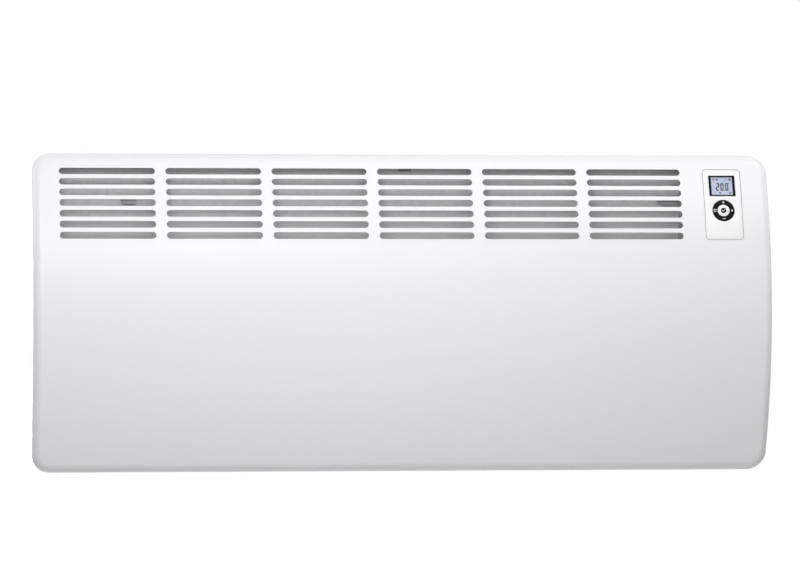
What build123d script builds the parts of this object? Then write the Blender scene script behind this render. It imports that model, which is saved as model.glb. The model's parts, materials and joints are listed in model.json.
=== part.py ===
"""Wall panel convector heater on its wall bracket.

Frame: X to the viewer's right, Y into the wall (the wall's face is Y = 0), Z up.
The origin is the centre of the four wall screws, at the heater's middle. Millimetres.
The front is a cylinder bulging forward from top to bottom. A height "along the bulge"
is an arc length on that cylinder, measured up from the heater's middle.
"""

from build123d import *
import os
from math import asin, cos, radians, sin, sqrt, tan

os.makedirs("parts", exist_ok=True)

# ---------------------------------------------------------------- driving dimensions

# Front cover
cover_width = 1050.0
cover_height = 450.0
cover_corner = 26.0
cover_sheet = 0.9
cover_edge_round = 12.0
cover_return = 30.0          # how far the sides reach back behind the bulged face
bulge_radius = 480.0
heater_depth = 135.0         # from the wall to the foremost line of the bulge

# Outlet slots, six to a row
slot_length = 135.0
slot_width = 10.0
slot_pitch = 150.0
slot_rows = 7
slot_row_pitch = 16.0        # along the bulge
slot_top_margin = 28.2       # along the bulge, from the cover's top to the top row
slot_left_margin = 37.5      # from the cover's left edge to the first slot
control_zone = 110.0         # right end of the cover, kept for the control unit

# Rear tray
wall_gap = 22.0              # between the wall and the tray
tray_sheet = 0.7
tray_inset = 4.0             # the tray stands inside the cover's outline by this much
tray_front_setback = 15.0    # tray's front rim behind the bulged face
tray_corner = 22.0
inlet_slot_length = 40.0
inlet_slot_width = 6.0
inlet_pitch = 48.0
inlet_row_pitch = 10.0
inlet_end_margin = 30.0

# Sheet-metal duct
duct_sheet = 0.5
duct_left_margin = 25.0      # from the cover's left edge
duct_right_margin = 2.5      # past the last slot
duct_end_margin = 7.0        # duct's ends short of the tray's top and bottom
duct_flange = 12.0
shield_gap = 12.0            # heat shield in front of the tray's back
shield_lift = 75.0           # from the cover's bottom to the shield's
shield_drop = 22.0           # deflector's knee above the shield's top
baffle_setback = 14.0        # front baffle behind the bulged face
baffle_lift = 35.0           # from the cover's bottom to the baffle's
baffle_drop = 21.0           # lowest slots above the baffle's top
knee_rise = 4.0              # deflector's knee above the baffle's top
deflector_foot_depth = 42.0  # deflector in front of the tray's back at its knee
deflector_head_depth = 48.0  # and at its top
bend_radius = 2.0

# Heating elements
element_end_gap = 75.0       # between the profile's ends and the duct's
element_lift = 110.0         # lower element above the cover's bottom
element_pitch_z = 62.0
element_core_radius = 9.0
element_side_room = 19.0     # of the depth, left free of the elements' arms
element_arm_sheet = 2.2
element_arm_angle = 32.0
element_rib = 9.0
rod_radius = 4.8
rod_clearance = 0.1
rod_overhang = 24.0
rod_pin_radius = 1.5
rod_pin_length = 9.0
insulator_radius = 8.0
insulator_length = 9.0
element_bracket_sheet = 1.0
element_bracket_gap = 14.0   # from the aluminium profile to its bracket
element_bracket_foot = 14.0
element_screw_head_radius = 3.8
element_screw_head = 1.6

# Wall bracket
screw_spacing_x = 600.0
screw_spacing_z = 260.0
screw_hole_radius = 3.25
bracket_sheet = 1.5
strut_width = 40.0
strut_height = 340.0
strut_clearance = 1.0        # between the strut's legs and the tray
rail_height = 30.0
rail_standoff = 12.0         # wall to the rail's back face
rivet_radius = 2.0
rivet_head_radius = 3.5
rivet_head_height = 1.2
rivet_pitch = 16.0
hook_seat_z = 140.0
hook_neck = 8.0
hook_tip = 13.0              # how far the hook's tip stands above its seat
hook_notch = 3.6
hook_thickness = 4.4
hook_slot_width = 4.0
lift_travel = 16.0
seat_gap = 0.2               # small clearance between neighbouring flat faces

# Quarter-turn catches
latch_x = 200.0
latch_shaft_radius = 4.0
latch_tongue_length = 30.0
latch_tongue_width = 12.0
latch_tongue_thickness = 3.0
latch_rail_gap = 1.5         # between the tongue and the rail's back face
latch_lift_margin = 2.0      # shaft below the rail, heater lifted
latch_lever_length = 36.0
latch_lever_width = 10.0
latch_lever_thickness = 4.0
latch_collar_radius = 6.0
latch_collar_thickness = 2.0
bush_wall = 2.0
bush_flange_radius = 8.5
bush_flange = 1.0
bush_length = 5.0
running_clearance = 0.05

# Wall bumpers
bumper_radius = 10.0
bumper_side_margin = 95.0
bumper_lift = 30.0

# Cover clips and screws
clip_length = 16.0
clip_depth = 12.0
clip_end_margin = 75.0
clip_count = 4
clip_setback = 24.0          # clips behind the bulged face's edge
cover_screw_radius = 2.0
cover_screw_length = 12.0
cover_screw_head_radius = 3.8
cover_screw_head = cover_screw_head_radius - cover_screw_radius  # countersunk at 45 degrees

# Control unit
panel_right_margin = 41.0    # from the cover's right edge to the panel's right edge
panel_width = 53.3
panel_height = 105.3         # along the bulge
panel_top_margin = 23.7      # along the bulge
panel_corner = 4.5
panel_gap = 0.8
fascia_thickness = 2.0
display_width = 37.7
display_height = 31.6
display_drop = 9.0           # panel's top edge to the display's top edge
display_frame_side = 3.4
display_frame_top = 1.9
display_thickness = 1.8
display_clearance = 0.1
lcd_margin = 1.5
lcd_gap = 0.3                # between the display's panes and the module
key_ring_height = 42.8       # from the panel's bottom edge to the ring's centre
key_ring_radius = 15.75
key_centre_radius = 8.65
key_gap = 0.25
key_proud = 0.3
key_depth = 4.0
key_travel = 0.8
key_stem_radius = 1.5
key_stem_length = 2.0
key_stem_ring = 12.2
switch_free_gap = 0.2
switch_side = 6.0
switch_height = 3.6
housing_wall = 1.5
housing_margin = 1.5         # housing inside the panel's outline
housing_lip = 4.0            # housing's flange behind the cover, past the gap
housing_flange = 1.5
board_thickness = 1.6
board_clearance = 0.5

# Power electronics
board_width = 88.0
board_height = 150.0
board_drop = 15.0            # board's middle below the heater's
standoff_radius = 3.5
standoff_height = 10.0
standoff_inset = 6.0
relay_size = (20.0, 16.0, 30.0)
relay_place = (-26.0, -50.0)
transformer_size = (32.0, 28.0, 36.0)
transformer_place = (20.0, -45.0)
capacitor_radius = 9.0
capacitor_length = 25.0
capacitor_place = (26.0, 2.0)
sink_size = (40.0, 22.0, 56.0)
sink_place = (-12.0, 40.0)
sink_base = 4.0
sink_fins = 6
sink_fin = 2.0
terminal_size = (62.0, 20.0, 22.0)
terminal_lift = 85.0
terminal_ways = 5
terminal_hole_radius = 2.6

# Mains entry and switch
gland_side_margin = 47.0
gland_lift = 45.0
gland_bore_radius = 4.0
gland_barrel_radius = 8.0
gland_flange_radius = 11.0
gland_outside = 8.0
gland_inside = 12.0
gland_nut_thickness = 5.0
rocker_duct_gap = 18.0       # switch's middle past the duct's right end
rocker_back_gap = 11.0       # switch's middle in front of the tray's back
rocker_length = 17.0
rocker_width = 8.5
rocker_gap = 0.5
rocker_pivot_radius = 1.2
rocker_pivot_depth = 0.5     # pivot above the tray's underside
rocker_throw = 14.0          # degrees from one half flush to the other half flush
switch_bezel_margin = 2.0
switch_bezel_height = 2.0
switch_body_height = 16.0

# Sensors
cutout_end_gap = 75.0        # from the element's right end
cutout_drop = 40.0           # below the shield's top
cutout_radius = 8.0
cutout_thickness = 9.0
cutout_post = 10.0
sensor_side_margin = 25.0
sensor_lift = 20.0
sensor_radius = 2.5
sensor_length = 12.0

# Leads
lead_radius = 1.5
lead_bend = 7.0
lead_pitch = 12.0

# ---------------------------------------------------------------- derived places

bulge_centre_y = bulge_radius - heater_depth
half_width = cover_width / 2
half_height = cover_height / 2
tray_back = -wall_gap
tray_floor = tray_back - tray_sheet
tray_half_width = half_width - tray_inset
tray_half_height = half_height - tray_inset
tray_radius = bulge_radius - tray_front_setback
panel_x = half_width - panel_right_margin - panel_width / 2
top_arc = bulge_radius * asin(half_height / bulge_radius)
panel_arc = top_arc - panel_top_margin - panel_height / 2
display_arc = top_arc - panel_top_margin - display_drop - display_height / 2
keys_arc = panel_arc - panel_height / 2 + key_ring_height
board_depth = (key_depth + key_stem_length + key_travel + switch_free_gap + switch_height)
control_reach = 4 * board_depth
shield_y = tray_floor - shield_gap
bracket_front = tray_back + strut_clearance
rail_back = -rail_standoff
rail_front = rail_back - bracket_sheet
rail_low_edge = -screw_spacing_z / 2 - rail_height / 2
latch_z = rail_low_edge - lift_travel - latch_shaft_radius - latch_lift_margin
slots_in_row = int((cover_width - slot_left_margin - control_zone) / slot_pitch)
slot_xs = [-half_width + slot_left_margin + slot_length / 2 + i * slot_pitch
           for i in range(slots_in_row)]
slot_arcs = [top_arc - slot_top_margin - i * slot_row_pitch for i in range(slot_rows)]
lowest_slots_z = bulge_radius * sin(slot_arcs[-1] / bulge_radius)
duct_left = -half_width + duct_left_margin
duct_right = slot_xs[-1] + slot_length / 2 + duct_right_margin
duct_half_height = tray_half_height - duct_end_margin
baffle_top = lowest_slots_z - baffle_drop
baffle_bottom = -half_height + baffle_lift
deflector_knee = baffle_top + knee_rise
shield_top = deflector_knee - shield_drop
shield_bottom = -half_height + shield_lift
shield_front = shield_y - duct_sheet
element_lower_z = -half_height + element_lift
element_start = duct_left + element_end_gap
element_end = duct_right - element_end_gap
element_length = element_end - element_start
element_arm = (heater_depth - element_side_room) / 4
baffle_radius = bulge_radius - baffle_setback
element_low_edge = element_lower_z - element_arm
baffle_inside_y = bulge_centre_y - sqrt((baffle_radius - duct_sheet) ** 2 - element_low_edge**2)
element_y = (shield_front + baffle_inside_y) / 2
board_x = (duct_right + tray_half_width) / 2
board_z = -board_drop
terminal_z = -half_height + terminal_lift
gland_x = half_width - gland_side_margin
gland_z = -half_height + gland_lift
rocker_x = duct_right + rocker_duct_gap
rocker_y = tray_floor - rocker_back_gap
cutout_x = element_end - cutout_end_gap
cutout_z = shield_top - cutout_drop
sensor_x = half_width - sensor_side_margin
sensor_z = -half_height + sensor_lift
bumper_x = half_width - bumper_side_margin
bumper_z = -half_height + bumper_lift


# ---------------------------------------------------------------- helpers

def save(builder, name):
    """Label a finished piece and write it."""
    builder.part.label = name
    export_step(builder.part, f"parts/{name}.step")


def bulge_y(radius, z):
    """Y of a cylinder concentric with the front, at a height."""
    return bulge_centre_y - sqrt(radius**2 - z**2)


def front_plane(x, arc_height, depth=0.0, turn=0.0):
    """Plane on the bulged front, at a height along the bulge, its Z axis outward."""
    angle = arc_height / bulge_radius
    radius = bulge_radius - depth
    outward = Vector(0, -cos(angle), sin(angle))
    along_bulge = Vector(0, sin(angle), cos(angle))
    x_dir = Vector(1, 0, 0) * cos(radians(turn)) + along_bulge * sin(radians(turn))
    return Plane(origin=outward * radius + Vector(x, bulge_centre_y, 0), x_dir=x_dir, z_dir=outward)


def control_plane(depth):
    """Plane square to the keys' travel, centred on the panel, a depth behind the keys' place."""
    base = front_plane(panel_x, keys_arc, depth)
    middle = base.origin + base.y_dir * (panel_arc - keys_arc)
    return Plane(origin=middle, x_dir=base.x_dir, z_dir=base.z_dir)


def upright_plane(y):
    """Plane parallel to the wall, local axes X and Z, its normal forward."""
    return Plane.XZ.offset(-y)


def bulge_section(radius, back_y, x=0.0):
    """Side section between a bulge of this radius and a flat back."""
    reach = half_height + cover_return
    edge_y = bulge_y(radius, reach)
    with BuildSketch(Plane.YZ.offset(x)) as section:
        with BuildLine():
            ThreePointArc((edge_y, -reach), (bulge_centre_y - radius, 0), (edge_y, reach))
            Polyline((edge_y, reach), (back_y, reach), (back_y, -reach), (edge_y, -reach))
        make_face()
    return section.sketch


def bulged_block(width, height, corner, radius, back_y, edge_round):
    """Rounded rectangle, bulged in front and flat behind, with its front edge rounded."""
    with BuildPart() as block:
        with BuildSketch(upright_plane(back_y)):
            RectangleRounded(width, height, corner)
        extrude(amount=heater_depth)
        extrude(bulge_section(radius, back_y), amount=width, both=True, mode=Mode.INTERSECT)
        if edge_round > 0:
            front = block.faces().filter_by(GeomType.CYLINDER).sort_by(SortBy.AREA)[-1]
            fillet(front.edges(), edge_round)
    return block.part


def sheet_section(plane, points, thickness, bend=bend_radius):
    """Folded sheet's section, its thickness on the left of the line of points."""
    with BuildSketch(plane) as section:
        with BuildLine():
            FilletPolyline(*points, radius=bend)
            offset(amount=thickness, side=Side.LEFT)
        make_face()
    return section.sketch


def cylinder_y(x, z, y_front, y_back, radius, mode=Mode.ADD):
    """Round bar square to the wall, added to the piece being built."""
    with BuildSketch(upright_plane(y_back)) as disc:
        with Locations((x, z)):
            Circle(radius)
    extrude(disc.sketch, amount=y_back - y_front, mode=mode)


def box_between(x_range, y_range, z_range, mode=Mode.ADD):
    """Box between three pairs of limits, added to the piece being built."""
    spans = [high - low for low, high in (x_range, y_range, z_range)]
    middle = tuple((low + high) / 2 for low, high in (x_range, y_range, z_range))
    with Locations(middle):
        Box(*spans, mode=mode)


# ---------------------------------------------------------------- front cover

def make_front_cover():
    outer = bulged_block(cover_width, cover_height, cover_corner, bulge_radius,
                         tray_back, cover_edge_round)
    inner = bulged_block(cover_width - 2 * cover_sheet, cover_height - 2 * cover_sheet,
                         cover_corner - cover_sheet, bulge_radius - cover_sheet,
                         tray_back, cover_edge_round - cover_sheet)
    with BuildPart() as front_cover:
        add(outer)
        add(inner, mode=Mode.SUBTRACT)
        extrude(bulge_section(bulge_radius - cover_return, 0), amount=cover_width, both=True,
                mode=Mode.SUBTRACT)
        for arc_height in slot_arcs:
            with BuildSketch(front_plane(0, arc_height)):
                with Locations(*[(x, 0) for x in slot_xs]):
                    SlotOverall(slot_length, slot_width)
            extrude(amount=slot_width / 2, both=True, mode=Mode.SUBTRACT)
        with BuildSketch(front_plane(panel_x, panel_arc)):
            RectangleRounded(panel_width + 2 * panel_gap, panel_height + 2 * panel_gap,
                             panel_corner + panel_gap)
        extrude(amount=slot_width / 2, both=True, mode=Mode.SUBTRACT)
        add_countersinks(Mode.SUBTRACT)
    save(front_cover, "front_cover")


clip_pitch = (cover_width - 2 * clip_end_margin) / (clip_count - 1)
clip_xs = [(i - (clip_count - 1) / 2) * clip_pitch for i in range(clip_count)]
clip_y = bulge_y(bulge_radius, half_height) + clip_setback


def add_countersinks(mode):
    with Locations(*[(x, clip_y, -half_height) for x in clip_xs]):
        Cone(cover_screw_head_radius, cover_screw_radius, cover_screw_head,
             align=(Align.CENTER, Align.CENTER, Align.MIN), mode=mode)


def make_cover_fixings():
    tray_top = tray_half_height
    cover_inside = half_height - cover_sheet
    with BuildPart() as cover_clips:
        for x in clip_xs:
            for low, high in ((-cover_inside, -tray_top), (tray_top, cover_inside)):
                box_between((x - clip_length / 2, x + clip_length / 2),
                            (clip_y - clip_depth / 2, clip_y + clip_depth / 2), (low, high))
            with BuildSketch(Plane.XY.offset(-cover_inside)):
                with Locations((x, clip_y)):
                    Circle(cover_screw_radius)
            extrude(amount=cover_sheet + tray_inset, mode=Mode.SUBTRACT)
        add_countersinks(Mode.SUBTRACT)
    save(cover_clips, "cover_clips")

    with BuildPart() as cover_screws:
        for x in clip_xs:
            with BuildSketch(Plane.XY.offset(-half_height)):
                with Locations((x, clip_y)):
                    Circle(cover_screw_radius)
            extrude(amount=cover_screw_length)
        add_countersinks(Mode.ADD)
    save(cover_screws, "cover_screws")


# ---------------------------------------------------------------- rear tray

hook_slot_low = hook_seat_z - hook_neck - lift_travel - 2 * seat_gap
hook_slot_high = hook_seat_z + seat_gap
strut_xs = (-screw_spacing_x / 2, screw_spacing_x / 2)
leg_offset = (strut_width - bracket_sheet) / 2
leg_xs = [x + side * leg_offset for x in strut_xs for side in (-1, 1)]
inlet_rows_y = (tray_floor - inlet_row_pitch, tray_floor - 2 * inlet_row_pitch)
inlet_columns = int((duct_right - duct_left - 2 * inlet_end_margin) / inlet_pitch)
inlet_xs = [(duct_left + duct_right) / 2 + (i - (inlet_columns - 1) / 2) * inlet_pitch
            for i in range(inlet_columns)]
bush_radius = latch_shaft_radius + running_clearance + bush_wall


def make_rear_tray():
    with BuildPart() as rear_tray:
        add(bulged_block(2 * tray_half_width, 2 * tray_half_height, tray_corner,
                         tray_radius, tray_back, 0))
        with BuildSketch(upright_plane(tray_floor)):
            RectangleRounded(2 * (tray_half_width - tray_sheet),
                             2 * (tray_half_height - tray_sheet), tray_corner - tray_sheet)
        extrude(amount=heater_depth, mode=Mode.SUBTRACT)
        with BuildSketch(upright_plane(tray_back)):
            with Locations(*[(x, (hook_slot_low + hook_slot_high) / 2) for x in leg_xs]):
                Rectangle(hook_slot_width, hook_slot_high - hook_slot_low)
            with Locations((-latch_x, latch_z), (latch_x, latch_z)):
                Circle(bush_radius)
            with Locations((gland_x, gland_z)):
                Circle(gland_barrel_radius)
        extrude(amount=tray_sheet, mode=Mode.SUBTRACT)
        with BuildSketch(Plane.XY.offset(-tray_half_height)):
            with Locations(*[(x, y) for x in inlet_xs for y in inlet_rows_y]):
                SlotOverall(inlet_slot_length, inlet_slot_width)
            with Locations(*[(x, clip_y) for x in clip_xs]):
                Circle(cover_screw_radius)
            with Locations((rocker_x, rocker_y)):
                Rectangle(rocker_length + 2 * rocker_gap + 2 * housing_wall,
                          rocker_width + 2 * rocker_gap + 2 * housing_wall)
        extrude(amount=tray_sheet, mode=Mode.SUBTRACT)
    save(rear_tray, "rear_tray")

    with BuildPart() as wall_bumpers:
        for x in (-bumper_x, bumper_x):
            cylinder_y(x, bumper_z, tray_back, 0, bumper_radius)
        rims = wall_bumpers.edges().filter_by(GeomType.CIRCLE).group_by(Axis.Y)[-1]
        fillet(rims, bumper_radius / 5)
    save(wall_bumpers, "wall_bumpers")


# ---------------------------------------------------------------- duct

def make_duct():
    with BuildPart() as heat_shield:
        section = sheet_section(
            Plane.YZ.offset(duct_left),
            [(tray_floor, shield_bottom), (shield_y, shield_bottom),
             (shield_y, shield_top), (tray_floor, shield_top)], duct_sheet)
        extrude(section, amount=duct_right - duct_left)
    save(heat_shield, "heat_shield")

    knee_y = tray_floor - deflector_foot_depth
    head_y = tray_floor - deflector_head_depth
    head_z = tray_half_height - tray_sheet - duct_sheet - seat_gap
    with BuildPart() as air_deflector:
        section = sheet_section(
            Plane.YZ.offset(duct_left),
            [(shield_front, shield_top - duct_flange), (shield_front, shield_top),
             (knee_y, deflector_knee), (head_y, head_z),
             (head_y + duct_flange, head_z)], duct_sheet)
        extrude(section, amount=duct_right - duct_left)
    save(air_deflector, "air_deflector")

    with BuildPart() as front_baffle:
        duct_length = duct_right - duct_left
        extrude(bulge_section(baffle_radius, 0, duct_left), amount=duct_length)
        extrude(bulge_section(baffle_radius - duct_sheet, 0, duct_left), amount=duct_length,
                mode=Mode.SUBTRACT)
        middle_z = (baffle_top + baffle_bottom) / 2
        with Locations(((duct_left + duct_right) / 2, -heater_depth / 2, middle_z)):
            Box(duct_right - duct_left, 2 * heater_depth, baffle_top - baffle_bottom,
                mode=Mode.INTERSECT)
    save(front_baffle, "front_baffle")

    for name, x, side in (("duct_end_left", duct_left, -1), ("duct_end_right", duct_right, 1)):
        outside = x + side * duct_sheet
        with BuildPart() as duct_end:
            extrude(bulge_section(tray_radius, tray_floor, x), amount=side * duct_sheet)
            box_between(sorted((x - heater_depth, x + heater_depth)), (-heater_depth, tray_floor),
                        (-duct_half_height, duct_half_height), mode=Mode.INTERSECT)
            box_between(sorted((outside, outside + side * duct_flange)),
                        (tray_floor - duct_sheet, tray_floor),
                        (-duct_half_height, duct_half_height))
            if side > 0:
                box_between(sorted((x, outside)), (element_y - lead_pitch, element_y + lead_pitch),
                            (element_lower_z - lead_pitch,
                             element_lower_z + element_pitch_z + lead_pitch),
                            mode=Mode.SUBTRACT)
        save(duct_end, name)


# ---------------------------------------------------------------- heating elements

element_zs = (element_lower_z, element_lower_z + element_pitch_z)
bracket_places = (("element_bracket_left", element_start - element_bracket_gap, -1),
                  ("element_bracket_right", element_end + element_bracket_gap, 1))


def make_elements():
    for name, z in zip(("lower", "upper"), element_zs):
        section_plane = Plane(origin=(element_start, element_y, z), x_dir=(0, 1, 0), z_dir=(1, 0, 0))
        with BuildPart() as element_profile:
            with BuildSketch(section_plane):
                Circle(element_core_radius)
                for angle in (element_arm_angle, 180 - element_arm_angle,
                              180 + element_arm_angle, 360 - element_arm_angle):
                    way = Vector(cos(radians(angle)), sin(radians(angle)))
                    with Locations(Location((*(way * element_arm / 2), 0), angle)):
                        Rectangle(element_arm, element_arm_sheet)
                    for share in (0.55, 0.75, 0.96):
                        with Locations(Location((*(way * element_arm * share), 0), angle)):
                            Rectangle(element_arm_sheet / 2, element_rib)
                Circle(rod_radius + rod_clearance, mode=Mode.SUBTRACT)
            extrude(amount=element_length)
        save(element_profile, f"element_profile_{name}")

        with BuildPart() as heating_rod:
            with BuildSketch(section_plane.offset(-rod_overhang)):
                Circle(rod_radius)
            extrude(amount=element_length + 2 * rod_overhang)
            with BuildSketch(section_plane.offset(-rod_overhang - rod_pin_length)):
                Circle(rod_pin_radius)
            extrude(amount=element_length + 2 * rod_overhang + 2 * rod_pin_length)
        save(heating_rod, f"heating_rod_{name}")

    with BuildPart() as element_insulators:
        for z in element_zs:
            for _, x, side in bracket_places:
                middle = x + side * element_bracket_sheet / 2
                with BuildSketch(Plane(origin=(middle - insulator_length / 2, element_y, z),
                                       x_dir=(0, 1, 0), z_dir=(1, 0, 0))):
                    Circle(insulator_radius)
                    Circle(rod_radius, mode=Mode.SUBTRACT)
                extrude(amount=insulator_length)
    save(element_insulators, "element_insulators")

    front_y = element_y - insulator_radius - 2 * element_arm_sheet
    low_z = element_zs[0] - insulator_radius - duct_flange
    high_z = element_zs[1] + insulator_radius + duct_flange
    for name, x, side in bracket_places:
        with BuildPart() as element_bracket:
            box_between(sorted((x, x + side * element_bracket_sheet)), (front_y, shield_front),
                        (low_z, high_z))
            box_between(sorted((x, x + side * element_bracket_foot)),
                        (shield_front - element_bracket_sheet, shield_front), (low_z, high_z))
            with BuildSketch(Plane.YZ.offset(x)):
                with Locations(*[(element_y, z) for z in element_zs]):
                    Circle(insulator_radius)
            extrude(amount=side * element_bracket_sheet, mode=Mode.SUBTRACT)
        save(element_bracket, name)

    with BuildPart() as element_screws:
        for _, x, side in bracket_places:
            for z in (low_z + duct_flange, high_z - duct_flange):
                screw_x = x + side * (element_bracket_sheet + element_bracket_foot) / 2
                head_back = shield_front - element_bracket_sheet
                cylinder_y(screw_x, z, head_back - element_screw_head, head_back,
                           element_screw_head_radius)
    save(element_screws, "element_screws")


# ---------------------------------------------------------------- safety and sensing

def make_sensors():
    disc_back = shield_front - cutout_post
    step = 1.4 * cutout_radius
    with BuildPart() as cutout_bracket:
        section = sheet_section(
            Plane.XY.offset(cutout_z - cutout_radius),
            [(cutout_x + 3 * cutout_radius, shield_front), (cutout_x + step, shield_front),
             (cutout_x + step, disc_back + duct_sheet), (cutout_x - step, disc_back + duct_sheet),
             (cutout_x - step, shield_front), (cutout_x - 3 * cutout_radius, shield_front)],
            duct_sheet, bend=bend_radius / 2)
        extrude(section, amount=2 * cutout_radius)
    save(cutout_bracket, "cutout_bracket")

    with BuildPart() as thermal_cutout:
        cylinder_y(cutout_x, cutout_z, disc_back - cutout_thickness, disc_back, cutout_radius)
        disc_front = disc_back - cutout_thickness
        for side in (-1, 1):
            middle = cutout_x + side * cutout_radius / 2
            box_between((middle - 0.4, middle + 0.4), (disc_front - cutout_radius, disc_front),
                        (cutout_z - cutout_radius / 3, cutout_z + cutout_radius / 3))
    save(thermal_cutout, "thermal_cutout")

    clip_top = tray_floor - duct_flange
    with BuildPart() as sensor_clip:
        box_between((sensor_x - duct_flange / 2, sensor_x + duct_flange / 2),
                    (clip_top, tray_floor),
                    (sensor_z - duct_flange / 2, sensor_z + duct_flange / 2))
        with BuildSketch(Plane.YZ.offset(sensor_x - duct_flange / 2)):
            with Locations(((clip_top + tray_floor) / 2, sensor_z)):
                Circle(sensor_radius)
        extrude(amount=duct_flange, mode=Mode.SUBTRACT)
    save(sensor_clip, "sensor_clip")

    with BuildPart() as room_sensor:
        with BuildSketch(Plane.YZ.offset(sensor_x - sensor_length)):
            with Locations(((clip_top + tray_floor) / 2, sensor_z)):
                Circle(sensor_radius)
        extrude(amount=1.5 * sensor_length)
        tip = room_sensor.edges().filter_by(GeomType.CIRCLE).sort_by(Axis.X)[0]
        fillet(tip, sensor_radius * 0.8)
    save(room_sensor, "room_sensor")


# ---------------------------------------------------------------- wall bracket

def make_bracket():
    hook_front = tray_back + seat_gap * 5 - hook_notch
    for name, x in zip(("bracket_strut_left", "bracket_strut_right"), strut_xs):
        half = strut_height / 2
        with BuildPart() as strut:
            box_between((x - strut_width / 2, x + strut_width / 2), (-bracket_sheet, 0), (-half, half))
            for side in (-1, 1):
                with BuildSketch(Plane.YZ.offset(x + side * leg_offset - bracket_sheet / 2)):
                    with BuildLine():
                        Polyline((0, -half), (bracket_front, -half),
                                 (bracket_front, hook_seat_z - hook_neck),
                                 (hook_front - hook_thickness, hook_seat_z - hook_neck),
                                 (hook_front - hook_thickness, hook_seat_z + hook_tip),
                                 (hook_front, hook_seat_z + hook_tip),
                                 (hook_front, hook_seat_z), (bracket_front, hook_seat_z),
                                 (bracket_front, half), (0, half), close=True)
                    make_face()
                extrude(amount=bracket_sheet)
            for z in (-screw_spacing_z / 2, screw_spacing_z / 2):
                cylinder_y(x, z, -bracket_sheet, 0, screw_hole_radius, mode=Mode.SUBTRACT)
            inner_leg = x - (1 if x > 0 else -1) * leg_offset
            with BuildSketch(Plane.YZ.offset(inner_leg)):
                with Locations(*rivet_places):
                    Circle(rivet_radius)
            extrude(amount=bracket_sheet, both=True, mode=Mode.SUBTRACT)
        save(strut, name)

    tab_back = -bracket_sheet - seat_gap
    for name, z in (("bracket_top_rail", screw_spacing_z / 2),
                    ("bracket_bottom_rail", -screw_spacing_z / 2)):
        with BuildPart() as rail:
            section = sheet_section(
                Plane.XY.offset(z - rail_height / 2),
                [(-rail_half, tab_back), (-rail_half, rail_front),
                 (rail_half, rail_front), (rail_half, tab_back)], bracket_sheet)
            extrude(section, amount=rail_height)
            with BuildSketch(Plane.YZ):
                with Locations(*rivet_places):
                    Circle(rivet_radius)
            extrude(amount=strut_xs[1], both=True, mode=Mode.SUBTRACT)
        save(rail, name)

    with BuildPart() as bracket_rivets:
        for side in (-1, 1):
            for y, z in rivet_places:
                grip = (side * (rail_half - bracket_sheet), side * (rail_half + bracket_sheet))
                for radius, ends in ((rivet_radius, grip),
                                     (rivet_head_radius, (grip[0], grip[0] - side * rivet_head_height)),
                                     (rivet_head_radius, (grip[1], grip[1] + side * rivet_head_height))):
                    with BuildSketch(Plane.YZ.offset(min(ends))):
                        with Locations((y, z)):
                            Circle(radius)
                    extrude(amount=abs(ends[1] - ends[0]))
    save(bracket_rivets, "bracket_rivets")


rail_half = screw_spacing_x / 2 - strut_width / 2
rivet_y = (rail_back - bracket_sheet) / 2
rivet_places = [(rivet_y, rail_z + step * rivet_pitch / 2)
                for rail_z in (-screw_spacing_z / 2, screw_spacing_z / 2) for step in (-1, 1)]


# ---------------------------------------------------------------- catches

def make_latches():
    tongue_front = rail_back + latch_rail_gap
    tongue_back = tongue_front + latch_tongue_thickness
    lever_front = tray_back + bush_flange + 2 * seat_gap
    lever_back = lever_front + latch_lever_thickness
    bush_front = tray_back - bush_length
    collar_back = bush_front - seat_gap
    with BuildPart() as latch_bushes:
        for x in (-latch_x, latch_x):
            cylinder_y(x, latch_z, bush_front, tray_back + bush_flange, bush_radius)
            cylinder_y(x, latch_z, tray_back, tray_back + bush_flange, bush_flange_radius)
            cylinder_y(x, latch_z, bush_front, tray_back + bush_flange,
                       latch_shaft_radius + running_clearance, mode=Mode.SUBTRACT)
    save(latch_bushes, "latch_bushes")

    for name, x in (("latch_left", -latch_x), ("latch_right", latch_x)):
        with BuildPart() as latch:
            cylinder_y(x, latch_z, collar_back - latch_collar_thickness, tongue_back,
                       latch_shaft_radius)
            cylinder_y(x, latch_z, collar_back - latch_collar_thickness, collar_back,
                       latch_collar_radius)
            for start, thickness, length, width in (
                (tongue_back, latch_tongue_thickness, latch_tongue_length, latch_tongue_width),
                (lever_back, latch_lever_thickness, -latch_lever_length, latch_lever_width),
            ):
                with BuildSketch(upright_plane(start)):
                    with Locations((x, latch_z)):
                        Circle(width / 2)
                    with Locations((x, latch_z + length / 2)):
                        Rectangle(width, abs(length))
                    with Locations((x, latch_z + length)):
                        Circle(width / 2)
                extrude(amount=thickness)
        save(latch, name)


# ---------------------------------------------------------------- control unit

def curved_slab(outline, outer_radius, inner_radius):
    """An outline carried through the bulge and kept between two of its radii."""
    with BuildPart() as slab:
        extrude(outline, amount=control_reach, both=True)
        extrude(bulge_section(outer_radius, 0, panel_x), amount=panel_width, both=True,
                mode=Mode.INTERSECT)
        extrude(bulge_section(inner_radius, 0, panel_x), amount=panel_width, both=True,
                mode=Mode.SUBTRACT)
    return slab.part


def rounded_outline(plane, width, height, corner):
    """Rounded rectangle on a plane."""
    with BuildSketch(plane) as outline:
        RectangleRounded(width, height, corner)
    return outline.sketch


def plain_outline(plane, width, height):
    """Rectangle on a plane."""
    with BuildSketch(plane) as outline:
        Rectangle(width, height)
    return outline.sketch


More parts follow.
